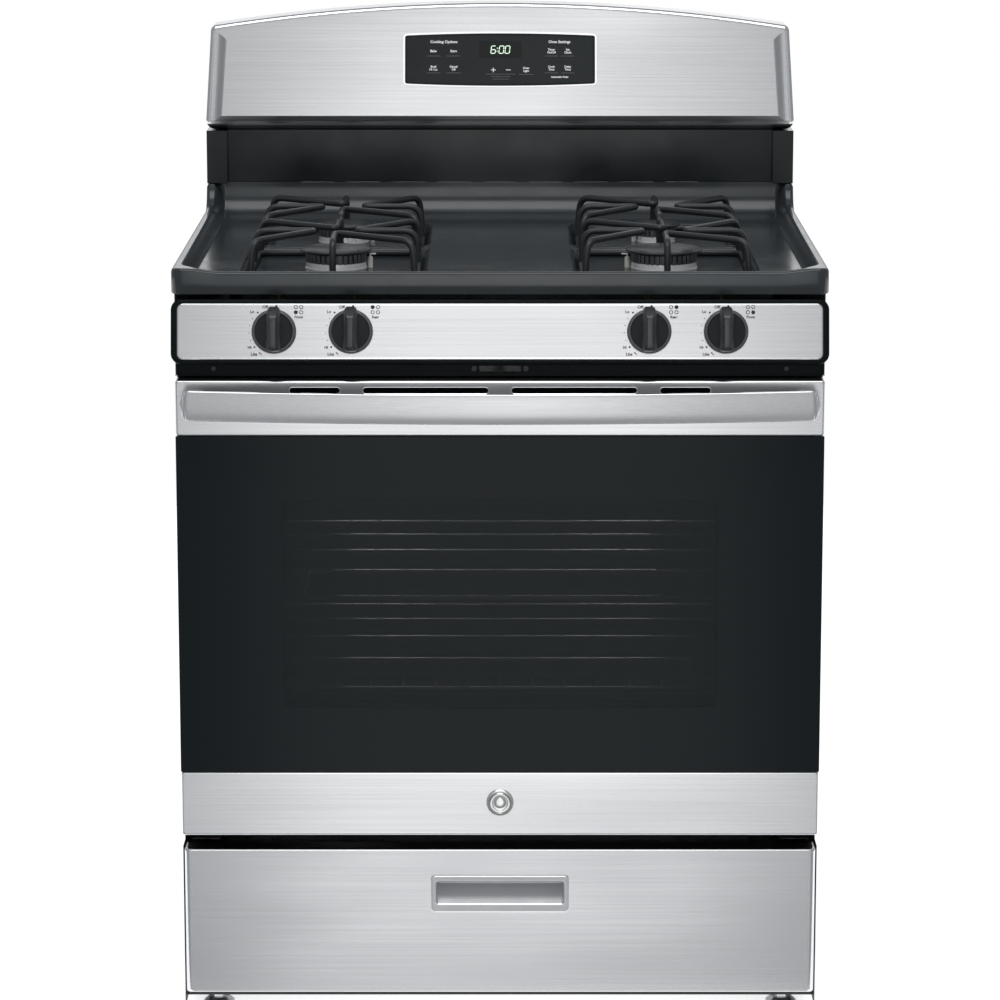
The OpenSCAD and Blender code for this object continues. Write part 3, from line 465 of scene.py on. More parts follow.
def cooktop_point(u, v):
    """A point of the pressed top: rims, pan, wells, and the cove that rises to the backguard"""
    # pan and rim follow their own curves up the back; the wall between them blends the two
    if v < PAN_COVE:
        pan_d, pan_z = v, RIM_Z - PAN_DROP
    else:
        a = min(1, (v - PAN_COVE) / PAN_COVE_RUN) * math.pi / 2
        above = max(0, v - PAN_COVE - PAN_COVE_RUN)
        pan_d = PAN_COVE + PAN_COVE_R * math.sin(a)
        pan_z = RIM_Z - PAN_DROP + PAN_COVE_R * (1 - math.cos(a)) + above
    a = RIM_COVE_TURN * min(1, max(0, (v - RIM_COVE) / RIM_COVE_RUN))
    above = max(0, v - RIM_COVE - RIM_COVE_RUN)
    rim_d = min(v, RIM_COVE) + RIM_COVE_R * math.sin(a) + above * RIM_SLOPE
    rim_z = RIM_Z + RIM_COVE_R * (1 - math.cos(a))
    x, d = u, v
    corner = (abs(u) - HALF_W + CORNER_R, CORNER_R - v)
    edge = min(HALF_W - abs(u), v)
    if corner[0] > 0 and corner[1] > 0:
        # the grid's square corner becomes a quarter of a disc
        a, b = corner[0] / CORNER_R, corner[1] / CORNER_R
        a, b = a * math.sqrt(1 - b * b / 2), b * math.sqrt(1 - a * a / 2)
        x = math.copysign(HALF_W - CORNER_R + CORNER_R * a, u)
        d = rim_d = pan_d = CORNER_R - CORNER_R * b
        edge = CORNER_R - CORNER_R * math.hypot(a, b)
    # the lower front rim rises to the side rims near the corners
    rim_z -= FRONT_DROP * (1 - smooth((abs(x) - 322) / 44)) * (1 - smooth((d - 20) / 60))
    if edge < EDGE_R:
        rim_z -= EDGE_R - math.sqrt(max(0, EDGE_R ** 2 - (EDGE_R - edge) ** 2))
    inner = rect_inside(x, d - RIM_W - PAN_DEPTH / 2, 2 * (HALF_W - RIM_W), PAN_DEPTH, PAN_R)
    fall = smooth(inner / WALL_RUN)
    z = rim_z + (pan_z - rim_z) * fall
    for cx, cd, w, h in WELLS:
        s = rect_inside(x - cx, d - cd, w, h, 20)
        if s > -2:
            z -= WELL_DROP * smooth((s + 2) / 9)
    return x, rim_d + (pan_d - rim_d) * fall, z


def grid_lines(start, end, fine):
    """Grid values from start to end, 9 mm apart; fine holds (from, to, step) ranges with closer lines"""
    values = {round(v, 3) for v in frange(start, end, 9)}
    for a, b, step in fine:
        values = {v for v in values if not a < v < b} | {round(v, 3) for v in frange(a, b, step)}
    return sorted(values)


def make_cooktop():
    b = Build()
    # closer lines at the walls of the wells, at the rims and at the cove
    half = [(84, 108, 1.7), (286, 310, 1.7), (322, 355, 2.5), (355, 375, 1.2), (375, 380, 0.6)]
    columns = grid_lines(-HALF_W, HALF_W, half + [(-t, -s, step) for s, t, step in half])
    rows = grid_lines(0, 619, [(0, 5, 0.6), (5, 25, 1.2), (25, 66, 2.5), (82, 108, 1.7), (284, 308, 1.7),
                               (316, 340, 1.7), (516, 540, 1.7), (540, 590, 3), (590, 619, 2.5)])
    table = b.grid(columns, rows, cooktop_point)
    edge = [row[0] for row in reversed(table)] + table[0][1:-1] + [row[-1] for row in table]
    base = RIM_Z - 30  # lower edge of the skirt
    rim = [b.matrix.inverted() @ b.verts[i] for i in edge]
    low = b.points([(p.x, p.y, base + 1) for p in rim])
    lip = b.points([(p.x * (1 - 1.2 / HALF_W), max(1.2, p.y), base) for p in rim])
    inside = b.points([(p.x * (1 - 3 / HALF_W), max(3, p.y), base + 2) for p in rim])
    for first, second in ((edge, low), (low, lip), (lip, inside)):
        b.strip(first, second, closed=False)
    new_piece("cooktop_pressing", b, "range", TOP_BLACK, ["cooktop"], 60, weighted=False)


def burner_place(corner):
    """Middle and radius of a burner, from its cap"""
    lo, hi = BOXES[f"cap_{corner}"]
    return (lo.x + hi.x) * 500, ((lo.y + hi.y) / 2 - FRONT_Y) * 1000, (hi.x - lo.x) * 500


def make_burners():
    floor = RIM_Z - PAN_DROP - WELL_DROP
    b = Build()
    for corner in CORNERS:
        x, depth, r = burner_place(corner)
        b.material = 0
        b.lathe([(r - 5.8, floor + 0.1), (r - 5.8, floor + 1.4), (r - 6.4, floor + 2), (r - 7, floor + 7.2),
                 (r - 7.6, floor + 8), (r - 12, floor + 8.1), (r - 12, floor + 5)], 72, (x, depth, 0))
        b.material = 1
        # the flame ring: a band of teeth with a gas port between each two
        teeth = round(math.tau * (r - 6) / 7)
        shape = ((0.02, r - 9.5), (0.26, r - 9.5), (0.3, r - 6.8), (0.36, r - 6.4), (0.64, r - 6.3),
                 (0.92, r - 6.4), (0.98, r - 6.8))
        loops = []
        for z, grow in ((floor + 8, 0), (floor + 9, 0), (floor + 17.4, 0), (floor + 18.6, -0.6)):
            ring = []
            for k in range(teeth):
                for share, radius in shape:
                    a = math.tau * (k + share) / teeth
                    ring.append((x + (radius + grow) * math.cos(a), depth + (radius + grow) * math.sin(a), z))
            loops.append(ring)
        b.loft(loops, cap_end=True)
    new_piece("burner_bases", b, "range", [BASE_BRIGHT, PORT_GREY], ["burner_heads"])
    for corner in CORNERS:
        x, depth, r = burner_place(corner)
        b = Build()
        dome = [((r - 3.4) * math.cos(a), 4.7 + 2.3 * math.sin(a)) for a in frange(0.15, math.pi / 2, 0.14)]
        b.lathe([(r - 9, 0), (r - 4, 0.1), (r - 1, 1.4), (r - 0.2, 2.2), (r, 2.9), (r - 0.3, 3.7),
                 (r - 1.3, 4.4), (r - 2.4, 4.7), (r - 3.2, 4.7), *dome],
                72, (x, depth, BOXES[f"cap_{corner}"][0].z * 1000))
        new_piece(f"burner_cap_{corner}", b, f"cap_{corner}", CAP_BLACK, [f"cap_{corner}"], 40)


def make_grate(corner):
    """A grate of round rod: a base frame, and four rods that each make two fingers"""
    lo, hi = BOXES[f"grate_{corner}"]
    x, d = (lo.x + hi.x) * 500, ((lo.y + hi.y) / 2 - FRONT_Y) * 1000
    r = 4  # of the rod
    tip = 22  # from the burner's middle to where two fingers meet
    half = (hi.x - lo.x) * 500 - r
    top, low = hi.z * 1000 - r, lo.z * 1000 + r
    b = Build()
    frame_path = [(x + px, d + py, low) for px, py in round_rect(2 * half, 2 * half, 15, steps=5)]
    b.sweep(frame_path, r, 14, closed=True)
    # up from the middle of a side, in to the tip, then out to the next corner and down
    rod = [(half, 0, low), (half - 2.5, 0, top), (tip, 0, top), (half - 5, half - 5, top),
           (half - 2, half - 2, low)]
    rise = bend(rod[:3], 17, 9)
    fall = bend(rod[2:], 17, 9)
    path = rise[:-1] + bend([rise[-2], Vector(rod[2]), fall[1]], 6, 9)[1:-1] + fall[1:]
    for k in range(4):
        spin = Matrix.Rotation(math.radians(90 * k), 3, "Z")
        b.sweep([spin @ p + Vector((x, d, 0)) for p in path], r, 14)
    new_piece(f"grate_rods_{corner}", b, f"grate_{corner}", GRATE_BLACK,
              [f"grate_{corner}"], 50, weighted=False)


# ---- Knob panel ----

def shell(b, w, h, r, profile, centre=(0, 0), back_lip=1.2):
    """A sheet-metal pan seen from the front; profile holds (inset, depth); returns the front loop"""
    loops = [lay(round_rect(w, h, r, back_lip, centre=centre), profile[0][1])]
    for inset, depth in profile:
        loops.append(lay(round_rect(w, h, r, inset, centre=centre), depth))
    return b.loft(loops)[-1]


def make_panel():
    size = (760, 75)
    b = Build(PANEL)
    edge = shell(b, *size, 12, edge_profile(3.5, 22), back_lip=2)
    inner = b.points(lay(round_rect(*size, 12, 8), 0))
    b.strip(edge, inner)
    b.face(inner)
    new_piece("panel_surround", b, "range", PANEL_BLACK, ["panel_frame"])
    b = Build(PANEL)
    # the rounded edge of the steel face carries the painted highlight
    b.material = 1
    stand = 1.3  # the steel's face lies this far in front of the panel
    turns = ((0, 1.2), (0, 0.9), (0.35, 0.4), (1.1, 0.08), (2.1, 0))
    edge = shell(b, 745, 64.5, 7, [(inset, depth - stand) for inset, depth in turns])
    b.material = 0
    b.face(edge)
    new_piece("panel_face", b, "range", [STEEL_UPPER_SHADED, STEEL_HIGHLIGHT], ["panel_fascia"])


def make_knob(number):
    joint = JOINTS[f"knob_{number}_turn"]
    x = joint["pos_m"][0] * 1000
    b = Build(PANEL)
    r = 25.5
    # the drum from its back to its face: inset from its radius, height, and the material up to there;
    # material 1, the lighter grey on the bevel ring, is a painted highlight
    drum = [(2, 5, 0), (0.3, 5, 0), (0, 5.4, 0), (0, 7, 0), (0.4, 7.9, 0), (1.2, 8.9, 1), (2.4, 9.7, 1),
            (3, 9.9, 1), (3.4, 9.8, 1), (3.9, 9.2, 0), (6, 9, 0), (r - 2, 9.4, 0)]
    rows = [b.points([(x + u, -h, v) for u, v in circle(r - inset, 72)]) for inset, h, _ in drum]
    b.face(rows[0][::-1])
    for before, after, (_, _, mark) in zip(rows, rows[1:], drum[1:]):
        b.material = mark
        b.strip(before, after)
    b.face(rows[-1])
    # the grip bar takes the lighter grey, painted light
    b.material = 2
    # the grip bar from its lower end to its pointer: height, depth, half width at the drum and at the ridge
    sections = [(-24, 11, 3.5, 1.2), (-23.4, 17, 6, 2), (-22.2, 24, 8, 2.5), (-20, 28.8, 9, 2.7),
                (-16, 30.8, 9.4, 2.8), (-6, 31, 9.5, 2.8), (6, 31, 9.5, 2.8), (13, 30.7, 9.4, 3),
                (16, 29.6, 9, 3.6), (20, 25.5, 8.2, 4.6), (24, 20, 7.4, 5), (27, 14.5, 6.2, 4.4),
                (28.3, 11.5, 4.6, 3)]
    loops = []
    for z, h, wide, ridge in sections:
        low = min(9, h - 1.5)
        rise = h - low
        side = [(wide, low), (wide * 0.96, low + rise * 0.25), (wide * 0.8 + ridge * 0.16, low + rise * 0.6),
                (ridge + (wide - ridge) * 0.22, h - 0.06 * rise - 0.5), (ridge, h - 0.15), (ridge * 0.5, h)]
        section = side + [(-px, ph) for px, ph in reversed(side)]
        loops.append([(x + px, -ph, z) for px, ph in section])
    b.loft(loops, cap_start=True, cap_end=True)
    new_piece(f"knob_body_{number}", b, f"knob_{number}",
              [KNOB_BLACK, KNOB_RIM_HIGHLIGHT, KNOB_GRIP_LIGHTENED], [f"knob_{number}"], 38)


# ---- Door ----

def slot_walls(b, outline, face_d, deep):
    """Builds the walls of a slot in the painted-highlight steel; outline(grow) gives its loop; returns the
    loop in the face
    """
    mouth = lay(outline(0.9), face_d)
    lip = lay(outline(0), face_d + 0.7)
    back = lay(outline(0), deep)
    old, b.material = b.material, 1
    rows = b.loft([mouth, lip, back])
    b.material = old
    return rows[0]


def steel_channel(name, node, body, z, half, depth, slots=(), radius=(2.4, 2.4), corner=2.5, holes=(),
                  steel=STEEL):
    """A folded steel front whose rolled edges carry a painted highlight; slots hold (x from, x to, height,
    half height)
    """
    face, back = depth
    rx, rz = radius
    b = Build()
    mid, h = (z[0] + z[1]) / 2, z[1] - z[0]
    loops = []
    deep = max(radius)
    for lip in (1.2, 0):
        loops.append(lay(round_rect(2 * half, h, corner, lip, centre=(0, mid)), back))
    steps = 7
    for k in range(steps + 1):
        a = math.pi / 2 * k / steps
        ix, iz = rx * (1 - math.cos(a)), rz * (1 - math.cos(a))
        points = round_rect(2 * half - 2 * ix, h - 2 * iz, corner, centre=(0, mid))
        loops.append(lay(points, face + deep * (1 - math.sin(a))))
    b.loft(loops[:3])
    b.material = 1
    front = b.loft(loops[2:])[-1]
    b.material = 0
    openings = [slot_walls(b, lambda g, s=s: round_rect(s[1] - s[0] + 2 * g, 2 * s[3] + 2 * g, s[3] + g,
                centre=((s[0] + s[1]) / 2, s[2])), face, face + 5) for s in slots]
    openings += [b.points(lay(hole, face)) for hole in holes]
    b.fill(front, openings)
    new_piece(name, b, body, [steel, STEEL_HIGHLIGHT], [node])


def window_loop():
    """Outline of the door's window, whose top and bottom edges bow outwards a little"""
    w, z0, z1 = 253, 400, 645

    def bow(x):
        return 3 * (1 - (x / w) ** 2)

    points = [(x, z1 + bow(x)) for x in frange(w - 4, 4 - w, w / 7)]
    points += [(-w + 1.2, z1 - 1.2), (-w, z1 - 4), (-w, z0 + 4), (-w + 1.2, z0 + 1.2)]
    points += [(x, z0 - bow(x)) for x in frange(4 - w, w - 4, w / 7)]
    return points + [(w - 1.2, z0 + 1.2), (w, z0 + 4), (w, z1 - 4), (w - 1.2, z1 - 1.2)]


def make_door():
    x, (z0, z1) = span("door_glass", "x")[1], span("door_glass", "z")
    face, back = span("door_glass", "d")
    b = Build()
    front = shell(b, 2 * x, z1 - z0, 1, [(inset, face + depth) for inset, depth in edge_profile(0.8, 4, 3)],
                  centre=(0, (z0 + z1) / 2))
    hole = b.points(lay(window_loop(), face))
    b.fill(front, [hole])
    b.loft([lay(window_loop(), d) for d in (face, back)])
    new_piece("door_glass_border", b, "door", GLASS, ["door_glass"])
    b = Build()
    for d in (face + 0.15, back - 0.2):
        b.patch(lay(window_loop(), d))
    b.strip(list(range(0, len(b.verts) // 2)), list(range(len(b.verts) // 2, len(b.verts))))
    new_piece("door_glass_window", b, "door", TINTED, ["door_glass"])
    half = span("door_trim_top", "x")[1]
    vent_z, vent_half = 775.5, 3.5
    slots = [(*sorted((s * start, s * end)), vent_z, vent_half)
             for s in (-1, 1) for start, end in ((13.5, 158), (185, 243))]
    rails = (("door_top_rail", "door_trim_top", slots), ("door_bottom_rail", "door_trim_bottom", ()))
    for name, node, vents in rails:
        steel_channel(name, node, "door", span(node, "z"), half, span(node, "d"), vents)
    b = Build()
    front, z = span("door_badge", "d")[0], sum(span("door_badge", "z")) / 2
    rings = [(16, -2), (16, 0.6), (15.4, 1.3), (14, 1.5), (13.2, 0.9), (12.4, 0.7), (11.8, 1.7), (10.8, 2.4),
             (9.8, 2.4), (9.2, 1.6), (7, 1.4), (6.4, 1.9), (5, 2.2), (2, 2.3)]
    highest = 2.4
    b.lathe([(r, h - front - highest) for r, h in rings], 64, (0, 0, z), axis="y")
    new_piece("badge_rings", b, "door", CHROME, ["door_badge"])


def make_handle():
    half = span("door_handle", "x")[1]
    z0, z1 = span("door_handle", "z")
    mid, h = (z0 + z1) / 2, (z1 - z0) / 2
    back_at = span("door_glass", "d")[0]

    def front_at(x):
        """Depth of the bar's front, which bows forward in the middle"""
        return -44 - 26 * (1 - (x / half) ** 2)

    b = Build()
    # the bar's section as (height, depth behind its front): a slightly crowned face, then the rolled edges
    ring = []
    for k in range(17):
        t = -1 + k / 8
        ring.append((t * (h - 1.4), 0.2 + 2.6 * abs(t) ** 2.6))
    edge = [(h - 0.5, 3.4), (h, 4.8), (h - 0.6, 6.4), (h - 2, 7), (h - 5, 7.2)]
    ring += edge + [(-z, n) for z, n in reversed(edge)]
    inward = [0, 0.4, 1.2, 2.4, 3.4, 4, 4.6, 5.2, 5.8, 7, 9, 12]
    xs = [-half + i for i in inward] + frange(-half + 18, half - 18, 15)
    xs += [half - i for i in reversed(inward)]
    end_r = 8.5  # rounding of the ends, seen from the front
    neutral = 3.6  # depth that the section shrinks towards at the ends
    loops = []
    for x in xs:
        in_from_end = half - abs(x)
        e = min(in_from_end, end_r)
        scale = math.sqrt(max(0, 1 - ((end_r - e) / end_r) ** 2))
        tall = (h - end_r + end_r * scale) / h
        deep = 0.35 + 0.65 * math.sqrt(min(1, e / 3))
        # a crescent groove where the end cap meets the bar
        groove = 3 * math.exp(-(in_from_end - 4.6) ** 2)
        bow = max(0, 1 - in_from_end / 12)
        row = []
        for z, n in ring:
            cut = groove * max(0, 1 - abs(z / h) ** 4) if n < 4 else 0
            row.append((x - math.copysign(2.5 * bow * (z / h) ** 2, x),
                        front_at(x) + neutral + (n + cut - neutral) * deep, mid + z * tall))
        loops.append(row)
    b.loft(loops, cap_start=True, cap_end=True)
    # painted highlight: lighter steel on the bevels along the upper and lower edge of the face
    bevels = (16, 17, len(ring) - 2, len(ring) - 1)
    b.marks = [1 if i % len(ring) in bevels else 0 for i in range(len(b.marks) - 2)] + [0, 0]
    # end blocks that stand the bar off the door
    for s in (-1, 1):
        loops = []
        for d, x0, x1, grow in ((back_at + 0.5, half - 21, half - 4, 5.5), (-20, half - 21, half - 4, 6),
                                (-30, half - 24, half - 2, 6.5), (-38, half - 25, half - 1.5, 6.5)):
            loops.append([(s * (x0 + x1) / 2 + px, d, mid + pz)
                          for px, pz in round_rect(x1 - x0, 2 * h - 2 * grow, 5)])
        b.loft(loops, cap_end=True)
    new_piece("handle_bar", b, "door", [HANDLE_STEEL_LIT, STEEL_HIGHLIGHT], ["door_handle"], 40)


# ---- Drawer ----

def make_drawer():
    half = span("drawer_front", "x")[1]
    z = span("drawer_front", "z")
    depth = span("drawer_front", "d")
    cup_x = span("drawer_pull", "x")[1]
    cup_z = span("drawer_pull", "z")
    mid = sum(cup_z) / 2
    hole = round_rect(2 * cup_x - 6, cup_z[1] - cup_z[0] - 6, 4, centre=(0, mid))
    # the drawer front takes the darker steel copy, painted shade
    steel_channel("drawer_face", "drawer_front", "drawer", z, half, depth, radius=(7, 2.4), corner=3,
                  holes=[hole], steel=STEEL_LOWER_SHADED)
    b = Build()
    face = depth[0]
    lift = 1.4  # of the cup's frame in front of the drawer's face
    # a raised stamped frame, then a recess whose floor slopes up towards the back
    size = (2 * cup_x, cup_z[1] - cup_z[0])
    loops = [lay(round_rect(*size, 5, inset, centre=(0, mid)), face - rise)
             for inset, rise in ((0, 0.4), (0.8, 1.1), (1.8, lift))]
    # the cup's raised frame carries the painted highlight
    b.material = 1
    rows = b.loft(loops)
    mouth_w, mouth_z = 151, (159, 187)
    mouth_mid, mouth_h = sum(mouth_z) / 2, mouth_z[1] - mouth_z[0]
    b.material = 0
    inner = [b.points(lay(round_rect(mouth_w - 2 * t, mouth_h - 2 * t, 4, centre=(0, mouth_mid)),
                          face - lift + back))
             for t, back in ((-1.4, 0), (-0.9, 0.1), (-0.3, 0.6), (0, 1.4))]
    b.fill(rows[-1], [inner[0]])
    # and so do the walls of the mouth
    b.material = 1
    for a, c in zip(inner, inner[1:]):
        b.strip(a, c)
    b.material = 0
    last = inner[-1]
    for back in (3, 6, 10, 14, 18, 21, 22.6):
        rise = 19 * (back / 24) ** 0.85
        points = []
        for px, pz in round_rect(mouth_w - back * 0.12, mouth_h, 4, centre=(0, mouth_mid)):
            share = (mouth_z[1] - pz) / mouth_h
            points.append((px, face + back, pz + rise * share))
        row = b.points(points)
        b.strip(last, row)
        last = row
    b.face(last)
    new_piece("drawer_finger_cup", b, "drawer", [CUP_STEEL_LIGHTENED, STEEL_HIGHLIGHT], ["drawer_pull"], 40)


# ---- Backguard ----

def guard_loop(t):
    """Outline of the backguard's face at a distance t inside its edge, the same number of points each time"""
    low_half, high_half = 379.5, 374  # half widths at the lower edge and above it
    low_r, high_r = 13, 8  # radii of the lower and the upper corners
    low, drop = 1014, 29  # height of the lower edge; how far the arch falls to its ends
    top = span("backguard_fascia", "z")[1]

    def arch(x):
        return top - t - drop * x * x / (high_half * high_half)

    r, q = max(0.3, low_r - t), max(0.3, high_r - t)
    side = high_half - t
    points = []
    for k in range(9):
        a = math.radians(270 + 90 * k / 8)
        cx = min(low_half - low_r, low_half - t - r)
        points.append((cx + r * math.cos(a), low + t + r + r * math.sin(a)))
    cx, cz = side - q, arch(side - q) - q
    for k in range(8):
        a = math.radians(85 * k / 7)
        points.append((cx + q * math.cos(a), cz + q * math.sin(a)))
    points += [((cx - 4) * (1 - k / 18), arch((cx - 4) * (1 - k / 18))) for k in range(18)]
    mirror = [(-x, z) for x, z in reversed(points)]
    return points + [(0, arch(0))] + mirror


def guard_face(z, t):
    """Depth of the backguard's face at a height and a distance inside its edge"""
    edge_r, curl_r, curl_z, curl_d = 5, 20, 1034, 590
    lean = GUARD_FRONT[0] + (z - GUARD_FRONT[1]) * math.tan(GUARD_TILT)
    roll = edge_r - math.sqrt(max(0, edge_r ** 2 - max(0, edge_r - t) ** 2))
    # the lower edge curls back round a horizontal line
    curl = curl_d - math.sqrt(max(0, curl_r ** 2 - (z - curl_z) ** 2)) if z < curl_z else 0
    return max(lean + roll, curl)


def make_guard():
    b = Build()
    back = span("backguard_fascia", "d")[1]

    def front_loops(insets):
        return [[(x, guard_face(z, t), z) for x, z in guard_loop(t)] for t in insets]

    rim = front_loops((0, 0.25, 0.7, 1.4, 2.3, 3.4, 5))
    b.loft([lay(guard_loop(t), back) for t in (1.5, 0)] + [rim[0]])
    # the rolled edge of the guard's face carries the painted highlight
    b.material = 1
    b.loft(rim)
    b.material = 0
    b.face(b.loft(front_loops((5, 6.5, 8, 10, 12, 14, 16, 18, 21)))[-1])
    new_piece("guard_face", b, "range", [STEEL_UPPER_SHADED, STEEL_HIGHLIGHT], ["backguard_fascia"], 40)


OVERLAY_W, OVERLAY_H, OVERLAY_BOW = 250, 67, 3
# how far up the leaning face the middle of the control overlay lies; its height above the floor is 1104
OVERLAY_V = (1104 - GUARD_FRONT[1]) / math.cos(GUARD_TILT)


def overlay_loop(inset):
    """A rounded rectangle whose long edges bow outwards"""
    corners = round_rect(OVERLAY_W, OVERLAY_H, 5, inset, steps=5)
    (reach, high), low = corners[5], corners[17][1]
    along = [reach * (1 - k / 10) for k in range(1, 20)]
    points = corners[:6] + [(x, high) for x in along] + corners[6:18]
    points += [(-x, low) for x in along] + corners[18:]
    bow = [OVERLAY_BOW * (1 - (2 * x / OVERLAY_W) ** 2) for x, _ in points]
    return [(x, OVERLAY_V + z + math.copysign(out, z)) for (x, z), out in zip(points, bow)]


def ring(b, outer, inner, y):
    """A flat ring between two loops"""
    b.strip(b.points(lay(outer, y)), b.points(lay(inner, y)))


def lettering(b, words, y, bold):
    """Adds flat text; words holds (text, x, height of its middle, size); bold widens the strokes"""
    for text, x, z, size in words:
        curve = bpy.data.curves.new("words", "FONT")
        curve.body = text
        curve.size = size
        curve.align_x = "CENTER"
        curve.align_y = "CENTER"
        curve.resolution_u = 3
        curve.offset = bold
        obj = bpy.data.objects.new("words", curve)
        bpy.context.scene.collection.objects.link(obj)
        bpy.context.view_layer.update()
        mesh = obj.evaluated_get(bpy.context.evaluated_depsgraph_get()).to_mesh()
        first = b.points([(x + v.co.x, y, z + v.co.y) for v in mesh.vertices])
        for polygon in mesh.polygons:
            b.face([first[i] for i in polygon.vertices])
        bpy.data.objects.remove(obj)
        bpy.data.curves.remove(curve)


def bar(b, x, z, w, h, y, lean=0.0):
    """A flat bar, leaning sideways by lean per unit of height"""
    corners = ((-w / 2, -h / 2), (w / 2, -h / 2), (w / 2, h / 2), (-w / 2, h / 2))
    b.patch([(x + px + lean * pz, y, z + pz) for px, pz in corners])


SEGMENTS = {"6": "acdefg", "0": "abcdef"}


def digit(b, figure, x, z, w, h, y):
    """A seven-segment figure, leaning to the right; t is the width of its strokes"""
    t, lean = 1.2, 0.12
    level = {"a": h / 2, "g": 0, "d": -h / 2}
    upright = {"b": (w / 2, h / 4), "c": (w / 2, -h / 4), "e": (-w / 2, -h / 4), "f": (-w / 2, h / 4)}
    for s in SEGMENTS[figure]:
        if s in level:
            bar(b, x + lean * level[s], z + level[s], w - t * 0.9, t, y, lean)
        else:
            px, pz = upright[s]
            bar(b, x + px + lean * pz, z + pz, t, h / 2 - t * 0.5, y, lean)


def make_display():
    b = Build(GUARD)
    face = -1.6
    white = (0.9, 2.3)  # insets between which the white line runs
    loops = [lay(overlay_loop(inset), y)
             for inset, y in ((0, -0.1), (0, -1.0), (0.3, -1.4), (white[0], face))]
    # the overlay's rounded edge and the white line glow white, a painted highlight
    b.material = 1
    b.loft(loops)
    ring(b, overlay_loop(white[0]), overlay_loop(white[1]), face)
    b.material = 0
    b.patch(lay(overlay_loop(white[1]), face))
    new_piece("control_face", b, "range", [GLASS, OVERLAY_EDGE_GLOW], ["control_overlay"], 40)
    v = OVERLAY_V
    b = Build(GUARD)
    y = face - 0.02  # each printed layer lies a little in front of the one before
    b.patch(lay(overlay_loop(5.5), y))
    b.material = 1
    b.patch(lay(round_rect(55, 22, 1.5, centre=(0.3, v + 12.9)), y - 0.02))
    b.material = 2
    for x, figure in ((-8.6, "6"), (1.9, "0"), (9.7, "0")):
        digit(b, figure, x, v + 12.9, 5.7, 9.6, y - 0.05)
    bar(b, -3.3, v + 14.8, 1.3, 1.3, y - 0.05)
    bar(b, -3.7, v + 11, 1.3, 1.3, y - 0.05)
    # the white legends glow: painted light on the print
    b.material = 3
    deep = y - 0.04
    lettering(b, [("Cooking Options", -72.5, v + 23, 5.0), ("Oven Settings", 76.8, v + 23, 5.0),
                  ("Bake", -86, v + 11, 4.3), ("Start", -60, v + 11, 4.3),
                  ("Broil\nHi / Lo", -86, v - 11.2, 3.7), ("Cancel\nOff", -60, v - 11.2, 3.7),
                  ("Oven\nLight", 33.8, v - 13, 3.7), ("Timer\nOn/Off", 66.4, v + 11, 3.7),
                  ("Set\nClock", 87.5, v + 11, 3.7), ("Cook\nTime", 66.4, v - 11.2, 3.7),
                  ("Delay\nTime", 87.5, v - 11.2, 3.7), ("Automatic Oven", 77, v - 22.7, 3.3)],
              deep, 0.12)
    for x, z, w, h in ((-8.6, -13.5, 6, 1), (-8.6, -13.5, 1, 6), (10.7, -13.5, 6, 1)):
        bar(b, x, v + z, w, h, deep)
    b.material = 4
    for x, z, w in ((-86, 4.6, 18), (-60, 4.6, 18), (-86, -17.4, 18), (-60, -17.4, 18), (0.8, -19, 38),
                    (0.8, -22.3, 25), (0.8, -25.4, 21), (33.8, -19.3, 18), (66.4, 4.6, 17), (87.5, 4.6, 17),
                    (66.4, -17.4, 17), (87.5, -17.4, 17)):
        bar(b, x, v + z, w, 0.45, deep)
    new_piece("control_legends", b, "range",
              [OVERLAY_INNER, DISPLAY, LIT, INK_WHITE_GLOWING, INK_GREY], sharp=40, weighted=False)


def disc(b, x, z, r, y, inner=0.0):
    """A flat disc, or a ring when inner is given"""
    outer = [(x + u, z + v) for u, v in circle(r, 24)]
    if inner:
        ring(b, outer, [(x + u, z + v) for u, v in circle(inner, 24)], y)
    else:
        b.patch(lay(outer, y))


def make_dial_print():
    """Words, dots and burner diagrams printed on the steel round the knobs"""
    b = Build(PANEL)
    y = -1.33  # just in front of the steel face
    # for each knob: the burner it turns on, as (column, row) of the diagram, and its caption
    burners = [((0, 0), "Front"), ((0, 1), "Rear"), ((1, 1), "Rear"), ((1, 0), "Front")]
    for number, ((column, row), caption) in enumerate(burners, 1):
        x = JOINTS[f"knob_{number}_turn"]["pos_m"][0] * 1000
        b.material = 0
        lettering(b, [("Off", x - 10.3, 28.2, 4.9), ("Lo", x - 25.2, 22.7, 4.5),
                      ("Hi", x - 28.3, -18.5, 4.5), ("Lite", x - 23.2, -26.3, 4.9),
                      (caption, x + 28.4, 16.6, 4.3)], y, 0.16)
        disc(b, x + 2.7, 29.4, 1.2, y)
        for k in range(6):
            a = math.radians(130.5 + 17.6 * k)
            disc(b, x + 28.8 * math.cos(a), 28.8 * math.sin(a), 1.1 if k in (0, 5) else 0.6, y)
        for i in (0, 1):
            for j in (0, 1):
                here = (i, j) == (column, row)
                disc(b, x + 25.2 + 6.2 * i, 22.2 + 6 * j, 2.3, y, 0 if here else 1.5)
        b.material = 1
        disc(b, x - 16.6, -24.6, 0.9, y)
        bar(b, x - 15, -26, 0.9, 2.8, y, -0.4)
    new_piece("dial_print", b, "range", [INK_BLACK, INK_RED], sharp=40, weighted=False)


# ---- Racks ----

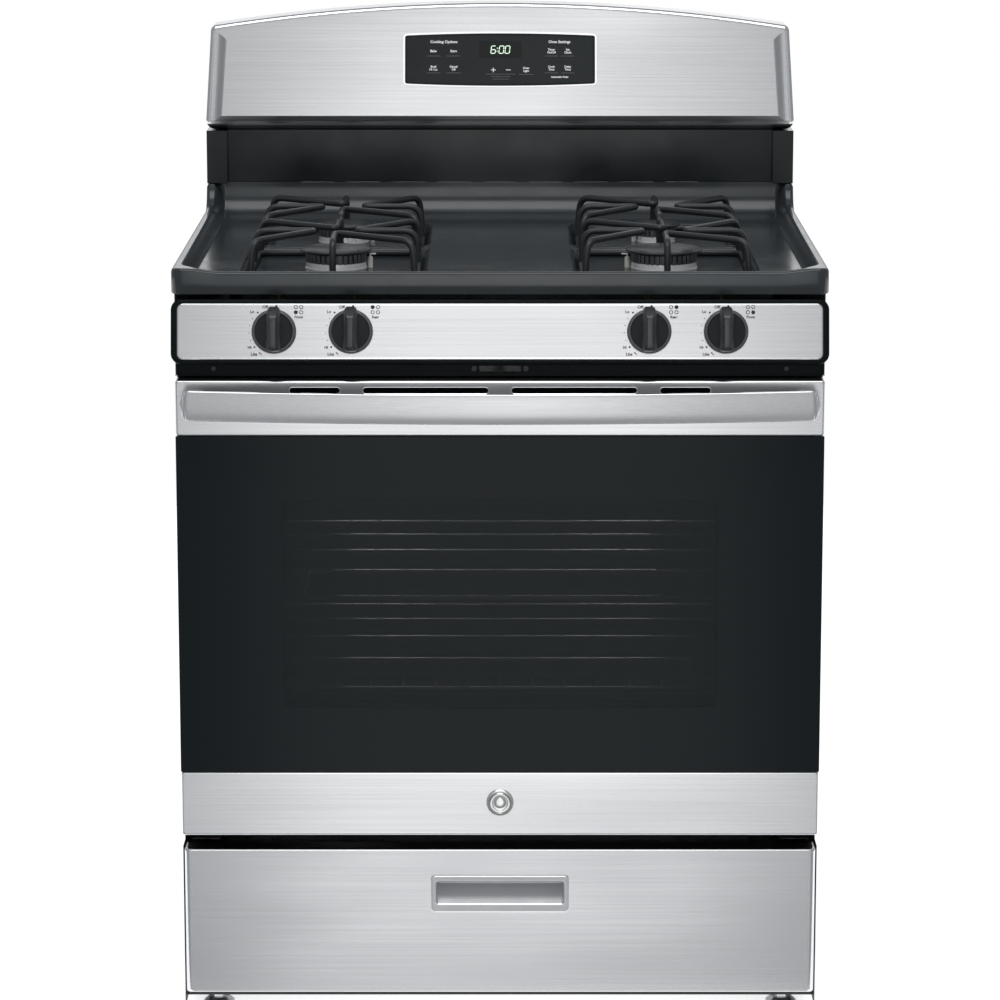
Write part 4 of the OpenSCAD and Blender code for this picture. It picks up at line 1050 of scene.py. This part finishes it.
def make_rack(node):
    """A wire rack: a frame, three cross wires under it, and wires from front to back over it"""
    d0, d1 = span(node, "d")
    z = span(node, "z")[0] + 3.1
    d0, d1 = d0 + 3.1, d1 - 3.1
    side = span(node, "x")[1] - 3.2
    b = Build()
    frame_path = [(px, (d0 + d1) / 2 + pd, z) for px, pd in round_rect(2 * side, d1 - d0, 14, steps=5)]
    b.sweep(frame_path, 3, 12, closed=True)
    for d in (208, 325, 420):
        b.sweep([(-side, d, z - 0.6), (0, d, z - 0.6), (side, d, z - 0.6)], 2.4, 10)
    for k in range(-7, 8):
        x = k * 38.7
        path = bend([(x, d0 - 2.2, z + 0.6), (x, d0 - 1.2, z + 3.4), (x, d1, z + 3.3)], 2, 4)
        b.sweep(path, 1.7, 8)
        # the rounded tip that shows as a bright dot above the frame
        bead = [(2.2 * math.sin(a), -2.2 * math.cos(a)) for a in frange(0.15, 3, 0.45)]
        b.lathe(bead, 12, (x, d0 - 0.3, z + 3.3))
    new_piece(f"{node}_wires", b, node, CHROME, [node], 60, weighted=False)


# ---- All pieces ----

make_cooktop()
make_burners()
for place in CORNERS:
    make_grate(place)
make_panel()
for knob in (1, 2, 3, 4):
    make_knob(knob)
make_dial_print()
make_guard()
make_display()
make_door()
make_handle()
make_drawer()
make_rack("rack_lower")
make_rack("rack_upper")

# the nodes that show as the CAD made them: material, width of the edge bevel in millimetres, and names
FINISHES = (
    (SIDE_BLACK, 0.8, "side_left side_right"), (SIDE_BLACK, 0.6, "base_frame"),
    (GALVANISED, 0.3, "rear_panel backguard_cover"), (GALVANISED, 0.4, "drawer_rails"),
    (GALVANISED, 0.5, "drawer_tray"), (PANEL_BLACK, 0.5, "front_frame"),
    (OVEN_BLACK, 0.5, "oven_liner oven_floor"), (LAMP, 1.0, "oven_lamp"),
    (BURNT, 0.4, "bake_burner broil_burner"), (PIPE, 0.5, "gas_manifold"), (PIPE, 1.2, "gas_regulator"),
    (BRASS, 0.6, "gas_valves"), (CERAMIC, 0.6, "igniters"),
    (BLACK, 1.0, "backguard_body"), (BLACK, 1.2, "door_inner"), (PANE, 0.4, "door_window"),
    (BRAID, 0.5, "door_seal"), (SCREW_BLACK, 0.6, "fasteners"), (SCREW, 0.5, "door_hinges"),
    (SCREW, 0.4, "spindle_1 spindle_2 spindle_3 spindle_4"),
    (SCREW, 0.8, "leg_front_left leg_front_right leg_rear_right leg_rear_left"),
    (NYLON, 0.8, "rollers_front rollers_rear"),
)
for material, bevel, names in FINISHES:
    for node in names.split():
        material_on(node, material, bevel)

# ---- Floor, light and camera ----

# the front edge lies just before the range, so the drawer mirrors the pale light and not the floor
bpy.ops.mesh.primitive_plane_add(size=1, location=(0, 1.19, 0))
floor = bpy.context.object
floor.name = "floor"
floor.scale = (9, 3.22, 1)
FLOOR = coated("floor_pale", (0.86, 0.86, 0.87), 0.6, 40, 0.00002, 0.01, Emission_Color=(1, 1, 1, 1),
               Emission_Strength=0.72)
floor.data.materials.append(FLOOR)


def area(name, location, target, size, power):
    light = bpy.data.lights.new(name, "AREA")
    light.shape = "RECTANGLE"
    light.size, light.size_y = size
    light.energy = power
    obj = bpy.data.objects.new(name, light)
    obj.location = location
    obj.rotation_euler = (Vector(target) - Vector(location)).to_track_quat("-Z", "Y").to_euler()
    bpy.context.scene.collection.objects.link(obj)
    return obj


# a narrow and a wide box in front make the bright middle and the darker sides of the steel
area("front_box", (0.02, -5.0, 1.28), (0.02, 0, 1.28), (1.2, 5.85), 31)
area("wide_box", (0, -5.1, 1.28), (0, 0, 1.28), (6.1, 5.85), 14)
area("top_box", (0, -0.9, 3.4), (0, 0.1, 0.9), (2.6, 1.6), 32)
area("oven_glow", (0, 0.0, 0.71), (0, 0.05, 0.3), (0.4, 0.2), 0.9)
area("back_box", (0, 3.2, 2.1), (0, 0.3, 1.1), (4, 2), 22).visible_camera = False

# the world is white to the camera and dimmer to the object
world = bpy.data.worlds.new("studio")
bpy.context.scene.world = world
world.use_nodes = True
world.node_tree.nodes.clear()
rays = add_node(world, "LightPath")
seen = add_node(world, "Background", Color=(1, 1, 1, 1), Strength=1.0)
felt = add_node(world, "Background", Color=(0.93, 0.96, 1.0, 1), Strength=0.32)
mix = add_node(world, "MixShader")
out = add_node(world, "OutputWorld")
links = world.node_tree.links
links.new(rays.outputs["Is Camera Ray"], mix.inputs[0])
links.new(felt.outputs[0], mix.inputs[1])
links.new(seen.outputs[0], mix.inputs[2])
links.new(mix.outputs[0], out.inputs["Surface"])

CAMERA_AWAY, CAMERA_Z, CAMERA_PITCH = 4.385, 1.540, 10.96
camera_data = bpy.data.cameras.new("camera")
camera_data.lens = 138.3
camera_data.sensor_width = 36
camera_data.shift_y = -0.040
camera = bpy.data.objects.new("camera", camera_data)
camera.location = (0, FRONT_Y - CAMERA_AWAY, CAMERA_Z)
camera.rotation_euler = (math.radians(90 - CAMERA_PITCH), 0, 0)
bpy.context.scene.collection.objects.link(camera)
bpy.context.scene.camera = camera
bpy.context.scene.view_settings.view_transform = "Standard"
